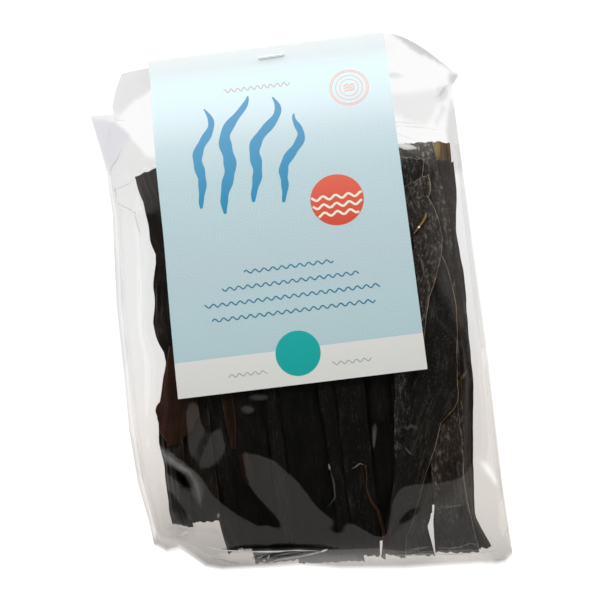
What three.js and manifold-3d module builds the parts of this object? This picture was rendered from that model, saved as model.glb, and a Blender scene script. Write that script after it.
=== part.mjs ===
// A clear cellophane bag of dried kelp strips, its mouth folded flat inside a stapled
// header card. Millimetres, +Z up. The pack lies on its back on the table: +X runs
// across it and +Y runs up to the folded mouth. The origin is on the table, under the
// middle of the pack. The bag is one solid out to its film, with the strips inside it.
import * as THREE from "three";
import { mergeVertices } from "three/addons/utils/BufferGeometryUtils.js";
import Module from "manifold-3d";

const wasm = await Module();
wasm.setup();

const gap = 0.3; // air between pieces that touch in the real pack

// The header card is one sheet folded over the bag's mouth, with two equal panels.
const card = {
  width: 115,
  top: 128.5, // outside of the fold
  panelLength: 166,
  thickness: 0.4,
  mouthLift: 1.3, // the stapled end stands this far off the table
  liftedFrom: 40,
  liftedBy: 108,
  riseFrom: 119, // below this line the front panel climbs over the strips
  rise: 20.4,
  bendSoftness: 0.05, // share of the panel over which the first bend is rounded
  steps: 30,
};
card.bottom = card.top - card.panelLength;

const film = { mouthThickness: 0.4 }; // the two flattened walls at the mouth

// The outline of the bag seen from the front, as four edges that meet at the corners.
const outline = {
  left: [
    [-79, -102.5],
    [-80, -91.5],
    [-83.2, -72.3],
    [-84.6, -48.7],
    [-84.8, 10],
    [-82.4, 55],
    [-84, 75.3],
    [-90.4, 107],
  ],
  right: [
    [85.5, -126.5],
    [85.1, -109.4],
    [84.4, -91],
    [85.8, -31.6],
    [86, 64],
    [86.5, 96.4],
    [90.4, 101],
  ],
  foot: [
    [-79, -102.5],
    [-67, -104.5],
    [-55, -114.5],
    [-12, -117.5],
    [9, -121.2],
    [34, -124],
    [66, -124.3],
    [85.5, -126.5],
  ],
  mouth: [
    [-90.4, 107],
    [-78.4, 106],
    [-73, 126.2],
    [-57, 127.2],
    [57, 127.2],
    [69.5, 120.2],
    [90.4, 101],
  ],
};

const body = {
  height: 22.4, // over the middle of the strips
  footHeight: 9,
  footRounding: 15,
  leftSlope: 21, // width of film that slopes from the strips down to the side crease
  rightSlope: 11,
  sideCrease: 11, // height of the front crease at the sides
  footCrease: 7,
  backCrease: 1.6,
  gussetDepth: 6, // how far the pleated side walls tuck in
  footBulge: 2,
};

// The front strips show as long ridges under the film.
const strips = {
  count: 9,
  left: -66,
  right: 77,
  top: 68,
  foot: -119,
  ridge: 1.5,
  sway: 2.5,
  swayLength: 150,
};

const grid = { across: 36, along: 50, deep: 4 };
const cell = 5.4; // longest side of a face of the bag

const staple = {
  x: 2,
  y: 123.6,
  crown: 12.8,
  wire: 0.5,
  clinch: 4.6, // length of each bent leg under the back panel
};

const clamp01 = (t) => Math.min(1, Math.max(0, t));
const smooth = (from, to, value) => {
  const t = clamp01((value - from) / (to - from));
  return t * t * (3 - 2 * t);
};
const mix = (a, b, t) => a + (b - a) * t;

// Height of the back panel's outer face over the table.
const mouthLift = (y) => card.mouthLift * smooth(card.liftedFrom, card.liftedBy, y);

// Height of the front panel's inner face: flat at the staple, then a quarter sine.
function frontPanelInside(y) {
  const run = clamp01((card.riseFrom - y) / (card.riseFrom - card.bottom));
  const eased = (run * run * (1 + card.bendSoftness)) / (run + card.bendSoftness);
  const stapled = card.mouthLift + card.thickness + film.mouthThickness + 2 * gap;
  return stapled + card.rise * Math.sin((Math.PI / 2) * eased);
}

// A closed profile in Y and Z, swept along X.
function cardGeometry() {
  const t = card.thickness;
  const foldMiddle = (mouthLift(card.top) + frontPanelInside(card.top) + t) / 2;
  const foldRadius = frontPanelInside(card.top) + t - foldMiddle;
  const foldY = card.top - foldRadius;
  const panel = Array.from({ length: card.steps + 1 }, (_, i) =>
    mix(card.bottom, foldY, i / card.steps),
  );
  const profile = new THREE.Shape();
  profile.moveTo(card.bottom, mouthLift(card.bottom));
  panel.slice(1).forEach((y) => profile.lineTo(y, mouthLift(y)));
  profile.absarc(foldY, foldMiddle, foldRadius, -Math.PI / 2, Math.PI / 2, false);
  panel.toReversed().forEach((y) => profile.lineTo(y, frontPanelInside(y) + t));
  panel.forEach((y) => profile.lineTo(y, frontPanelInside(y)));
  profile.absarc(foldY, foldMiddle, foldRadius - t, Math.PI / 2, -Math.PI / 2, true);
  panel.toReversed().forEach((y) => profile.lineTo(y, mouthLift(y) + t));
  const geometry = new THREE.ExtrudeGeometry(profile, {
    depth: card.width,
    bevelEnabled: false,
    curveSegments: 8,
  });
  geometry.translate(0, 0, -card.width / 2);
  const axes = [new THREE.Vector3(0, 1, 0), new THREE.Vector3(0, 0, 1), new THREE.Vector3(1, 0, 0)];
  return geometry.applyMatrix4(new THREE.Matrix4().makeBasis(...axes));
}

// Point at share t of the way along a line of corner points.
function alongEdge(points, t) {
  const lengths = points.slice(1).map((p, i) => Math.hypot(p[0] - points[i][0], p[1] - points[i][1]));
  let rest = t * lengths.reduce((sum, length) => sum + length, 0);
  let i = 0;
  while (i < lengths.length - 1 && rest > lengths[i]) rest -= lengths[i++];
  const share = Math.min(1, rest / lengths[i]);
  return [0, 1].map((k) => mix(points[i][k], points[i + 1][k], share));
}

// The flat outline filled in between its four edges, for s and t from 0 to 1.
function planPoint(s, t) {
  const [foot, mouth] = [alongEdge(outline.foot, s), alongEdge(outline.mouth, s)];
  const [left, right] = [alongEdge(outline.left, t), alongEdge(outline.right, t)];
  const corners = [outline.left[0], outline.right[0], outline.left.at(-1), outline.right.at(-1)];
  return [0, 1].map(
    (k) =>
      mix(foot[k], mouth[k], t) +
      mix(left[k], right[k], s) -
      mix(mix(corners[0][k], corners[1][k], s), mix(corners[2][k], corners[3][k], s), t),
  );
}

// 1 over the header card and one face past its edges, fading to 0 over the next few.
function overCard(x, y) {
  const side = 1 - smooth(card.width / 2 + cell, card.width / 2 + 2.5 * cell, Math.abs(x));
  return side * smooth(card.bottom - 2.5 * cell, card.bottom - cell, y);
}

// Relief of the front strips: rounded ridges with narrow valleys between them.
function stripRelief(x, y) {
  const pitch = (strips.right - strips.left) / strips.count;
  const sway = strips.sway * Math.sin((2 * Math.PI * y) / strips.swayLength);
  const phase = ((x - strips.left - sway) / pitch) * Math.PI;
  const inside =
    smooth(strips.left - 4, strips.left + 4, x) *
    (1 - smooth(strips.right - 4, strips.right + 4, x)) *
    smooth(strips.foot - 4, strips.foot + 6, y) *
    (1 - smooth(strips.top - 6, strips.top + 6, y));
  return strips.ridge * inside * (Math.sqrt(Math.abs(Math.sin(phase))) - 1);
}

// Height of the front crease along either side.
function sideCrease(y) {
  const full = mix(body.footCrease, body.sideCrease, smooth(-120, -70, y));
  const mouth = card.mouthLift + card.thickness + gap + film.mouthThickness + 0.9;
  return mix(full, mouth, smooth(35, 112, y));
}

function frontFilm(x, y, s, t) {
  const limit = frontPanelInside(y) - gap;
  const middle = Math.min(body.height + stripRelief(x, y), limit + stripRelief(x, y));
  const halfWidth = (outline.right[3][0] - outline.left[3][0]) / 2;
  const fromSide = 2 * halfWidth * (s < 0.5 ? s : 1 - s);
  const slope = s < 0.5 ? body.leftSlope : body.rightSlope;
  const across = Math.sin((Math.PI / 2) * clamp01(fromSide / slope));
  const fromFoot = t * (outline.mouth[3][1] - outline.foot[3][1]);
  const toFoot = 1 - clamp01(fromFoot / body.footRounding);
  const footed = mix(body.footHeight, middle, Math.sqrt(1 - toFoot * toFoot));
  const free = mix(Math.min(sideCrease(y), footed), footed, across);
  return mix(free, Math.min(free, limit), overCard(x, y));
}

function backFilm(x, y, s, t) {
  const overBack = (card.thickness + gap) * Math.max(overCard(x, y), smooth(60, 110, y));
  const edge = Math.max(Math.abs(2 * s - 1) ** 24, (1 - t) ** 30);
  const lifted = mouthLift(y) + overBack;
  return mix(lifted, Math.max(lifted, body.backCrease), edge);
}

// A box's faces moved out to the film. u, v and w run from -1 to 1 over the box.
function bagGeometry() {
  const box = new THREE.BoxGeometry(2, 2, 2, grid.across, grid.along, grid.deep);
  box.deleteAttribute("normal");
  box.deleteAttribute("uv");
  const bag = mergeVertices(box);
  const places = bag.getAttribute("position");
  for (let i = 0; i < places.count; i += 1) {
    const [u, v, w] = [places.getX(i), places.getY(i), places.getZ(i)];
    const [s, t] = [(u + 1) / 2, (v + 1) / 2];
    const [x, y] = planPoint(s, t);
    const back = backFilm(x, y, s, t);
    const front = Math.max(frontFilm(x, y, s, t), back + film.mouthThickness);
    const hollow = 1 - w * w;
    const open = clamp01((front - back) / body.sideCrease);
    const tuck = body.gussetDepth * open * hollow * Math.sign(u) * Math.abs(u) ** 8;
    const bulge = body.footBulge * hollow * clamp01(-v) ** 8;
    places.setXYZ(i, x - tuck, y - bulge, mix(back, front, (w + 1) / 2));
  }
  return bag;
}

// A bent wire in X and Z: the crown over the card, two legs and two clinched tips.
function stapleGeometry() {
  const crownTop = frontPanelInside(staple.y) + card.thickness + gap + staple.wire;
  const clinchFoot = mouthLift(staple.y) - gap - staple.wire;
  const half = staple.crown / 2;
  const inner = half - staple.wire;
  const corners = [
    [-half, clinchFoot],
    [-half, crownTop],
    [half, crownTop],
    [half, clinchFoot],
    [half - staple.clinch, clinchFoot],
    [half - staple.clinch, clinchFoot + staple.wire],
    [inner, clinchFoot + staple.wire],
    [inner, crownTop - staple.wire],
    [-inner, crownTop - staple.wire],
    [-inner, clinchFoot + staple.wire],
    [-half + staple.clinch, clinchFoot + staple.wire],
    [-half + staple.clinch, clinchFoot],
  ];
  const shape = new THREE.Shape(corners.map(([x, z]) => new THREE.Vector2(x, z)));
  const geometry = new THREE.ExtrudeGeometry(shape, { depth: staple.wire, bevelEnabled: false });
  geometry.translate(0, 0, -staple.wire / 2);
  geometry.rotateX(Math.PI / 2);
  return geometry.translate(staple.x, staple.y, 0);
}

function solidOf(geometry) {
  const bare = geometry.clone();
  bare.deleteAttribute("normal");
  bare.deleteAttribute("uv");
  const merged = mergeVertices(bare, 1e-3);
  const vertProperties = new Float32Array(merged.getAttribute("position").array);
  const triVerts = new Uint32Array(merged.index.array);
  return new wasm.Manifold(new wasm.Mesh({ numProp: 3, vertProperties, triVerts }));
}

function geometryOf(solid) {
  const { vertProperties, triVerts } = solid.getMesh();
  const geometry = new THREE.BufferGeometry();
  geometry.setAttribute("position", new THREE.BufferAttribute(vertProperties, 3));
  geometry.setIndex(new THREE.BufferAttribute(triVerts, 1));
  return geometry;
}

// Cuts the two holes that the staple's legs pass through.
function pierced(geometry) {
  const side = staple.wire + 2 * gap;
  const tall = 4 * body.height;
  const holes = [-1, 1].map((end) => {
    const x = staple.x + (end * (staple.crown - staple.wire)) / 2;
    return solidOf(new THREE.BoxGeometry(side, side, tall).translate(x, staple.y, 0));
  });
  return geometryOf(holes.reduce((solid, hole) => solid.subtract(hole), solidOf(geometry)));
}

function piece(name, geometry, color, roughness, metalness = 0) {
  geometry.computeVertexNormals();
  const material = new THREE.MeshStandardMaterial({ color, roughness, metalness });
  const mesh = new THREE.Mesh(geometry, material);
  mesh.name = name;
  return mesh;
}

const pack = new THREE.Group();
pack.add(piece("kelp_bag", pierced(bagGeometry()), 0x23231f, 0.35));
pack.add(piece("header_card", pierced(cardGeometry()), 0xb9d9de, 0.6));
pack.add(piece("staple", stapleGeometry(), 0xa8a9a6, 0.35, 1));

export default pack;
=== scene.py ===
import bpy
import numpy as np
from mathutils import Matrix, Vector


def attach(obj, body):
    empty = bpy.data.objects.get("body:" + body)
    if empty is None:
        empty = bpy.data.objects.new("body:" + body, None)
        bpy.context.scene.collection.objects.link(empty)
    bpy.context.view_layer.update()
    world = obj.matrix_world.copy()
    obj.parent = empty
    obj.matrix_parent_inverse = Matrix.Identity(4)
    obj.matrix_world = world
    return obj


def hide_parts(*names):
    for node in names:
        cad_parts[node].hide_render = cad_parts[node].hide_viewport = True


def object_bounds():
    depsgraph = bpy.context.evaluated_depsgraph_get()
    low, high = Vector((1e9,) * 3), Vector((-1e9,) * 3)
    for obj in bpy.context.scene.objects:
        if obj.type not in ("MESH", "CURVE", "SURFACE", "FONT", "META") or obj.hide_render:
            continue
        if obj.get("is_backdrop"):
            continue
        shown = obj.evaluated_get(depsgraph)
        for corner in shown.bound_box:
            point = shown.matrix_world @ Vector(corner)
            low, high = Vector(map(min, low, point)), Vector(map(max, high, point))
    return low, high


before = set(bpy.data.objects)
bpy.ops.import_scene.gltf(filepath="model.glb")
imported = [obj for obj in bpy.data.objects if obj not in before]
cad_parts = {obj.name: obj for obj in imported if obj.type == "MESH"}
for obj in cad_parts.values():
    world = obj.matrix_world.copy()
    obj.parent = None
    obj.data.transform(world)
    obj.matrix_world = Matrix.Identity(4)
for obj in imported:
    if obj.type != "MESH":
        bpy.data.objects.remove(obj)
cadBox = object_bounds()
rng = np.random.default_rng(23)
metre = 0.001  # one millimetre in metres
scene = bpy.context.scene


def smooth(start, stop, value):
    # 0 before start, 1 after stop, and an S-curve between them
    t = np.clip((np.asarray(value, float) - start) / (stop - start), 0, 1)
    return t * t * (3 - 2 * t)


def mix(a, b, t):
    return a + (b - a) * t


def wander(along, wavelength, amount):
    # three sines of nearby wavelengths and random phases, added up
    total = 0
    for stretch in (0.55, 1.0, 1.8):
        length = wavelength * stretch * rng.uniform(0.85, 1.15)
        total = total + stretch * np.sin(2 * np.pi * (along / length + rng.uniform()))
    return amount * total / 2.2


def neighbours(values):
    # the inner part of a grid, moved by one row or column each way
    return values[2:, 1:-1], values[:-2, 1:-1], values[1:-1, 2:], values[1:-1, :-2]


def blurred(values, passes):
    # each value moves half way to the mean of its four neighbours, again and again
    for _ in range(passes):
        values = (4 * values + sum(neighbours(np.pad(values, 1, mode="edge")))) / 8
    return values


def runAlong(x, y):
    # the distance along a line to each of its points
    return np.concatenate([[0], np.cumsum(np.hypot(np.diff(x), np.diff(y)))])


def evenLine(points, t):
    # the point this share of the way along a line of corner points
    columns = np.array(points, float).T
    run = runAlong(*columns[:2])
    return [np.interp(t * run[-1], run, column) for column in columns]


def bend(points, at, softness):
    # a line of (distance, value) points, rounded over the softness and read at some distances;
    # it goes on straight past both ends
    points = np.array(points, float)
    before, after = 2 * points[0] - points[1], 2 * points[-1] - points[-2]
    points = np.concatenate([[before], points, [after]])
    fine = np.linspace(before[0], after[0], 500)
    reach = max(1, int(round(softness / (fine[1] - fine[0]))))
    window = np.hanning(2 * reach + 3)
    padded = np.pad(np.interp(fine, *points.T), reach + 1, mode="reflect", reflect_type="odd")
    return np.interp(at, fine, np.convolve(padded, window / window.sum(), "valid"))


def within(x, y, outline):
    # true where a line towards +X crosses the outline an odd number of times
    found = np.zeros(np.shape(x), bool)
    corners = np.array(outline, float)
    for (x0, y0), (x1, y1) in zip(corners, np.roll(corners, -1, 0)):
        if y0 != y1:
            found ^= ((y0 > y) != (y1 > y)) & (x < x0 + (y - y0) * (x1 - x0) / (y1 - y0))
    return found


def gridQuads(rows, columns):
    # the cells of a grid of points, anticlockwise where columns run to +X and rows to +Y
    first = (np.arange(rows - 1)[:, None] * columns + np.arange(columns - 1)).ravel()
    return np.stack([first, first + 1, first + columns + 1, first + columns], 1)


def rimOf(rows, columns):
    # the border points of a grid, once round, anticlockwise
    foot, right = np.arange(columns), np.arange(1, rows) * columns + columns - 1
    top, left = (rows - 1) * columns + foot[-2::-1], np.arange(rows - 2, 0, -1) * columns
    return np.concatenate([foot, right, top, left])


def closedSheet(upper, lower, rings=()):
    # an upper and a lower face on one grid, joined round the border through any rings between
    rows, columns = upper.shape[:2]
    count = rows * columns
    rim = rimOf(rows, columns)
    levels = [rim]
    levels += [2 * count + i * len(rim) + np.arange(len(rim)) for i in range(len(rings))]
    levels.append(rim + count)
    cells = gridQuads(rows, columns)
    quads = [cells, cells[:, ::-1] + count]
    for above, below in zip(levels[:-1], levels[1:]):
        quads.append(np.stack([below, np.roll(below, -1), np.roll(above, -1), above], 1))
    places = [upper.reshape(-1, 3), lower.reshape(-1, 3), *rings]
    return np.concatenate(places), np.concatenate(quads)


def slab(x, y, high, low, rings=()):
    # a closed sheet whose two faces lie above each other
    return closedSheet(*[np.stack([x, y, z], -1) for z in (high, low)], rings)


def tube(path, radius, sides):
    # a ring of points round each point of a path in a plane of constant Y, closed by two fans
    path = np.array(path, float)
    along = np.gradient(path, axis=0)
    along /= np.linalg.norm(along, axis=1)[:, None]
    across = np.array([0.0, 1.0, 0.0])
    over = np.cross(along, across)
    angle = 2 * np.pi * np.arange(sides) / sides
    rings = path[:, None] + radius * np.cos(angle)[None, :, None] * across
    rings = rings + radius * np.sin(angle)[None, :, None] * over[:, None]
    place = np.arange(sides)
    following = (place + 1) % sides
    ring = np.arange(len(path) - 1)[:, None] * sides
    start, turn = (ring + place).ravel(), (ring + following).ravel()
    quads = np.stack([start, start + sides, turn + sides, turn], 1)
    first, last = len(path) * sides, len(path) * sides + 1
    tail = (len(path) - 1) * sides
    ends = np.stack([np.full(sides, first), place, following], 1)
    tips = np.stack([np.full(sides, last), tail + following, tail + place], 1)
    places = np.concatenate([rings.reshape(-1, 3), path[:1], path[-1:]])
    return places, [*quads.tolist(), *ends.tolist(), *tips.tolist()]


def joined(parts):
    # several (points, quads) parts in one
    offsets = np.cumsum([0] + [len(places) for places, _ in parts])
    places = np.concatenate([places for places, _ in parts])
    return places, np.concatenate([quads + start for (_, quads), start in zip(parts, offsets)])


def addPiece(name, places, faces, material, slot, standsFor=(), attributes=None, sharp=None):
    # a smooth mesh on the one body, with an attribute at each point for what its material reads
    mesh = bpy.data.meshes.new(name)
    mesh.from_pydata(places * metre, [], faces)
    for key, values in (attributes or {}).items():
        kind, part = ("FLOAT", "value") if values.ndim == 1 else ("FLOAT_VECTOR", "vector")
        layer = mesh.attributes.new(key, kind, "POINT")
        layer.data.foreach_set(part, values.astype(np.float32).ravel())
    mesh.shade_smooth()
    if sharp:
        mesh.set_sharp_from_angle(angle=np.radians(sharp))
    mesh.materials.append(material)
    mesh.validate()
    piece = bpy.data.objects.new(name, mesh)
    scene.collection.objects.link(piece)
    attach(piece, "root")
    if standsFor:
        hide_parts(*standsFor)
    print(f"{name}: {sum(len(p.vertices) - 2 for p in mesh.polygons)} triangles")
    return piece


def colour(code):
    # an sRGB hex code as a linear colour
    parts = [int(code[i : i + 2], 16) / 255 for i in (1, 3, 5)]
    return tuple(c / 12.92 if c <= 0.04045 else ((c + 0.055) / 1.055) ** 2.4 for c in parts) + (1,)


def nodeAdder(tree):
    tree.nodes.clear()

    def add(kind, sockets=(), out=0, stops=(), **settings):
        # a node with its settings; a socket is given a value, or is linked to an output; a ramp's
        # stops are hex codes or greys; it gives one output, or all of them where out is None
        made = tree.nodes.new("ShaderNode" + kind)
        for key, value in settings.items():
            setattr(made, key, value)
        sockets = sockets if isinstance(sockets, dict) else dict(enumerate(sockets))
        for key, value in sockets.items():
            if isinstance(value, bpy.types.NodeSocket):
                tree.links.new(value, made.inputs[key])
            else:
                made.inputs[key].default_value = value
        elements = made.color_ramp.elements if stops else []
        while len(elements) < len(stops):
            elements.new(0.5)
        for element, (place, shade) in zip(elements, stops):
            element.position = place
            element.color = colour(shade) if isinstance(shade, str) else (shade, shade, shade, 1)
        return made.outputs[out] if made.outputs and out is not None else made.outputs

    return add


def newMaterial(name):
    # an empty material, and the function that adds its nodes
    material = bpy.data.materials.new(name)
    material.use_nodes = True
    return material, nodeAdder(material.node_tree)


# The sizes of the kelp's patterns, across and along the strips in millimetres, with their detail
# and roughness, and the shades that each pattern turns to.
kelp = {
    "patterns": {
        "wrinkles": (0.9, 18, 4, 0.55),
        "streaks": (3.5, 70, 3, 0.55),
        "patches": (9, 22, 3, 0.55),
        "dust": (0.8, 7, 5, 0.65),
        "specks": (0.7, 0.9, 2, 0.55),
        "salt": (1.5, 3.2, 5, 0.7),
        "leather": (0.7, 0.9, 3, 0.55),
    },
    "shades": {
        "dark": ("grain", (0.34, "#020202"), (0.5, "#050505"), (0.68, "#0e0e0d")),
        "warm": ("grain", (0.34, "#22120b"), (0.52, "#331d14"), (0.68, "#4a2e20")),
        "gold": ("grain", (0.34, "#40300f"), (0.52, "#7a5f22"), (0.68, "#b5a850")),
        "olive": ("patches", (0.45, 0.0), (0.7, 0.5)),
        "dusted": ("patches", (0.36, 0.15), (0.6, 1.0)),
        "crusted": ("patches", (0.42, 0.25), (0.58, 1.0)),
        "rough": ("patches", (0.3, 0.34), (0.7, 0.55)),
        "dusty": ("dust", (0.45, 0.0), (0.78, 1.0)),
        "broken": ("dust", (0.4, 0.25), (0.55, 1.0)),
        "flecks": ("specks", (0.62, 0.0), (0.72, 0.4)),
        "crust": ("salt", (0.5, 0.0), (0.66, 0.8)),
        "margin": ("edge", (0.0, 1.0), (0.16, 0.85), (0.32, 0.0)),
    },
    "oliveTint": "#090b08",
    "dustTint": "#6e6b65",
    "crustTint": "#99958d",
    "margins": ("#bb9a7a", "#a89c8c"),  # golden and grey
}


# Kelp, sun-dried and cut into strips: leathery and near black, with long fine wrinkles, broad
# streaks, a dusty pale bloom in patches, and thin golden or grey margins where it was cut.
def kelpMaterial():
    material, add = newMaterial("driedKelp")
    marks = ("stripPlace", "tone", "edging")
    place, tone, edging = [add("Attribute", out="Vector", attribute_name=key) for key in marks]
    brown, bloom, _ = add("SeparateXYZ", [tone], None)
    edge, line, grey = add("SeparateXYZ", [edging], None)
    of = {"edge": edge}
    for name, (across, along, detail, roughness) in kelp["patterns"].items():
        spread = add("Mapping", {0: place, "Scale": (1 / across, 1 / along, 1)})
        wanted = {"Vector": spread, "Scale": 1, "Detail": detail, "Roughness": roughness}
        of[name] = add("TexNoise", wanted)
    broad = add("Math", [of["streaks"], 0.5], operation="MULTIPLY")
    of["grain"] = add("Math", [of["wrinkles"], 0.5, broad], operation="MULTIPLY_ADD")
    for name, (source, *stops) in kelp["shades"].items():
        of[name] = add("ValToRGB", [of[source]], stops=stops)
    golden = add("Math", [brown, 1.0], operation="SUBTRACT")
    dusty = add("Math", [of["dusty"], bloom], operation="MULTIPLY")
    dusty = add("Math", [dusty, of["dusted"]], operation="MULTIPLY")
    least = add("Math", [bloom, 0.12], operation="MULTIPLY")
    dusty = add("Math", [dusty, least], operation="MAXIMUM")
    flecks = add("Math", [of["flecks"], bloom], operation="MULTIPLY")
    heavy = add("Math", [bloom, 1.8, -0.8], operation="MULTIPLY_ADD", use_clamp=True)
    heavy = add("Math", [heavy, of["crusted"]], operation="MULTIPLY")
    crust = add("Math", [of["crust"], heavy], operation="MULTIPLY")
    pale = add("Math", [flecks, crust], operation="MAXIMUM")
    broken = add("Math", [line, of["broken"]], operation="MULTIPLY")
    margin = add("Math", [of["margin"], broken], operation="MULTIPLY")
    gilt, ashen = map(colour, kelp["margins"])
    rim = add("Mix", {0: grey, 6: gilt, 7: ashen}, 2, data_type="RGBA")
    body = of["dark"]
    for share, over in (
        (of["olive"], colour(kelp["oliveTint"])),
        (brown, of["warm"]),
        (golden, of["gold"]),
        (dusty, colour(kelp["dustTint"])),
        (pale, colour(kelp["crustTint"])),
        (margin, rim),
    ):
        body = add("Mix", {0: share, 6: body, 7: over}, 2, data_type="RGBA")
    leather = add("Math", [of["leather"], 0.4], operation="MULTIPLY")
    relief = add("Math", [of["wrinkles"], 1.6, leather], operation="MULTIPLY_ADD")
    shader = {
        "Base Color": body,
        "Roughness": of["rough"],
        "IOR": 1.45,
        "Specular IOR Level": 0.1,
        "Normal": add("Bump", {"Strength": 0.7, "Distance": 0.00035, "Height": relief}),
    }
    add("OutputMaterial", [add("BsdfPrincipled", shader)])
    return material


def clearBody(add):
    # lets light through with a tint, which holds the film's greying with painted shade and painted
    # highlights, and turns white where the sheet is whitened, which holds painted glints and sheen
    tint = add("Attribute", out="Vector", attribute_name="tint")
    whitened = add("Attribute", out="Fac", attribute_name="whitened")
    clear = add("BsdfTransparent", {"Color": tint})
    white = add("BsdfDiffuse", {"Color": (0.93, 0.92, 0.91, 1), "Roughness": 0.4})
    return add("MixShader", [whitened, clear, white])


# Cellophane, cast and creased by hand: clear, hard and glossy, so it shows by its reflections
# and by the slight greying of every layer. Its tint also holds painted shade and painted
# highlights, and its whitening is partly painted sheen.
def filmMaterial():
    material, add = newMaterial("clearCellophane")
    place = add("TexCoord", out="Object")
    # crumples about 9 mm apart
    height = add("TexNoise", {"Vector": place, "Scale": 110, "Detail": 1})
    bump = add("Bump", {"Strength": 0.5, "Distance": 0.00012, "Height": height})
    gloss = add("BsdfGlossy", {"Color": (1.0, 0.97, 0.92, 1), "Roughness": 0.03, "Normal": bump})
    # both faces of the sheet reflect 8 percent head on and all at a grazing angle
    facing = add("LayerWeight", {"Blend": 0.5, "Normal": bump}, "Facing")
    grazing = add("Math", [facing, 5.0], operation="POWER")
    share = add("Math", [grazing, 0.92, 0.08], operation="MULTIPLY_ADD")
    add("OutputMaterial", [add("MixShader", [share, clearBody(add), gloss])])
    return material


# Cellophane along a sharp crease, stretched until it greys or turns white.
def creaseMaterial():
    material, add = newMaterial("paintedCreaseLight")
    add("OutputMaterial", [clearBody(add)])
    return material


# Paper card, printed offset and satin-varnished: a grey-blue that fades to near white at the
# fold, partly print and partly painted light fitted along the card, lightest near the fold where
# the card curves away, a pale grey band along the foot, and faint rings in a slightly lighter blue.
def cardMaterial():
    material, add = newMaterial("printedCard")
    place = add("Attribute", out="Vector", attribute_name="cardPlace")
    _, along, printed = add("SeparateXYZ", [place], None)
    share = add("Math", [along, float(card["length"])], operation="DIVIDE")
    blue = add("ValToRGB", [share], stops=card["printFadeAndPaintedLight"])
    spacing = (1 / card["rings"], 1 / card["rings"], 0)
    turned = add("Mapping", {0: place, "Scale": spacing, "Rotation": (0, 0, 0.785)})
    cells = {"Vector": turned, "Scale": 1, "Randomness": 0.35}
    scales = add("TexVoronoi", cells, "Distance", voronoi_dimensions="2D")
    wave = add("Math", [scales, 55.0], operation="MULTIPLY")
    rings = add("Math", [wave], operation="SINE")
    lines = add("ValToRGB", [rings], stops=[(0.45, 0.0), (0.75, 1.0)])
    lines = add("Math", [lines, 0.1], operation="MULTIPLY")
    blue = add("Mix", {0: lines, 6: blue, 7: colour(card["ringShade"])}, 2, data_type="RGBA")
    foot = add("Math", [along, card["band"]], operation="LESS_THAN")
    face = add("Mix", {0: foot, 6: blue, 7: colour(card["bandShade"])}, 2, data_type="RGBA")
    body = add("Mix", {0: printed, 6: colour(card["bare"]), 7: face}, 2, data_type="RGBA")
    grain = add("TexNoise", {"Vector": place, "Scale": 2.5, "Detail": 4}, None)
    mottled = {0: 0.05, 6: body, 7: grain["Color"]}
    body = add("Mix", mottled, 2, data_type="RGBA", blend_type="MULTIPLY")
    bump = add("Bump", {"Strength": 0.12, "Distance": 0.0001, "Height": grain["Fac"]})
    shader = {"Base Color": body, "Roughness": 0.42, "IOR": 1.46, "Normal": bump}
    add("OutputMaterial", [add("BsdfPrincipled", shader)])
    return material


# Printing ink on satin card: even, a shade less glossy than the varnish, with a faint mottle.
def inkMaterial(name, low, high, span):
    material, add = newMaterial(name)
    place = add("TexCoord", out="Object")
    upward = add("SeparateXYZ", [place], 1)
    above = add("Math", [upward, span[0]], operation="SUBTRACT")
    share = add("Math", [above, span[1] - span[0]], operation="DIVIDE")
    fade = add("ValToRGB", [share], stops=[(0.0, low), (1.0, high)])
    mottle = add("TexNoise", {"Vector": place, "Scale": 900, "Detail": 3}, "Color")
    mottled = {0: 0.12, 6: fade, 7: mottle}
    body = add("Mix", mottled, 2, data_type="RGBA", blend_type="MULTIPLY")
    shader = {"Base Color": body, "Roughness": 0.45, "IOR": 1.46}
    add("OutputMaterial", [add("BsdfPrincipled", shader)])
    return material


# Staple wire, drawn and galvanised: a bright grey metal with fine marks along it.
def wireMaterial():
    material, add = newMaterial("galvanisedWire")
    place = add("TexCoord", out="Object")
    marks = add("Mapping", {0: place, "Scale": (300, 4000, 4000)})
    streaks = add("TexNoise", {"Vector": marks, "Scale": 1, "Detail": 2})
    shade = add("ValToRGB", [streaks], stops=[(0.3, "#d2d3d4"), (0.7, "#f2f3f4")])
    rough = add("ValToRGB", [streaks], stops=[(0.3, 0.28), (0.7, 0.42)])
    shader = {"Base Color": shade, "Roughness": rough, "Metallic": 1.0}
    add("OutputMaterial", [add("BsdfPrincipled", shader)])
    return material


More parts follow.
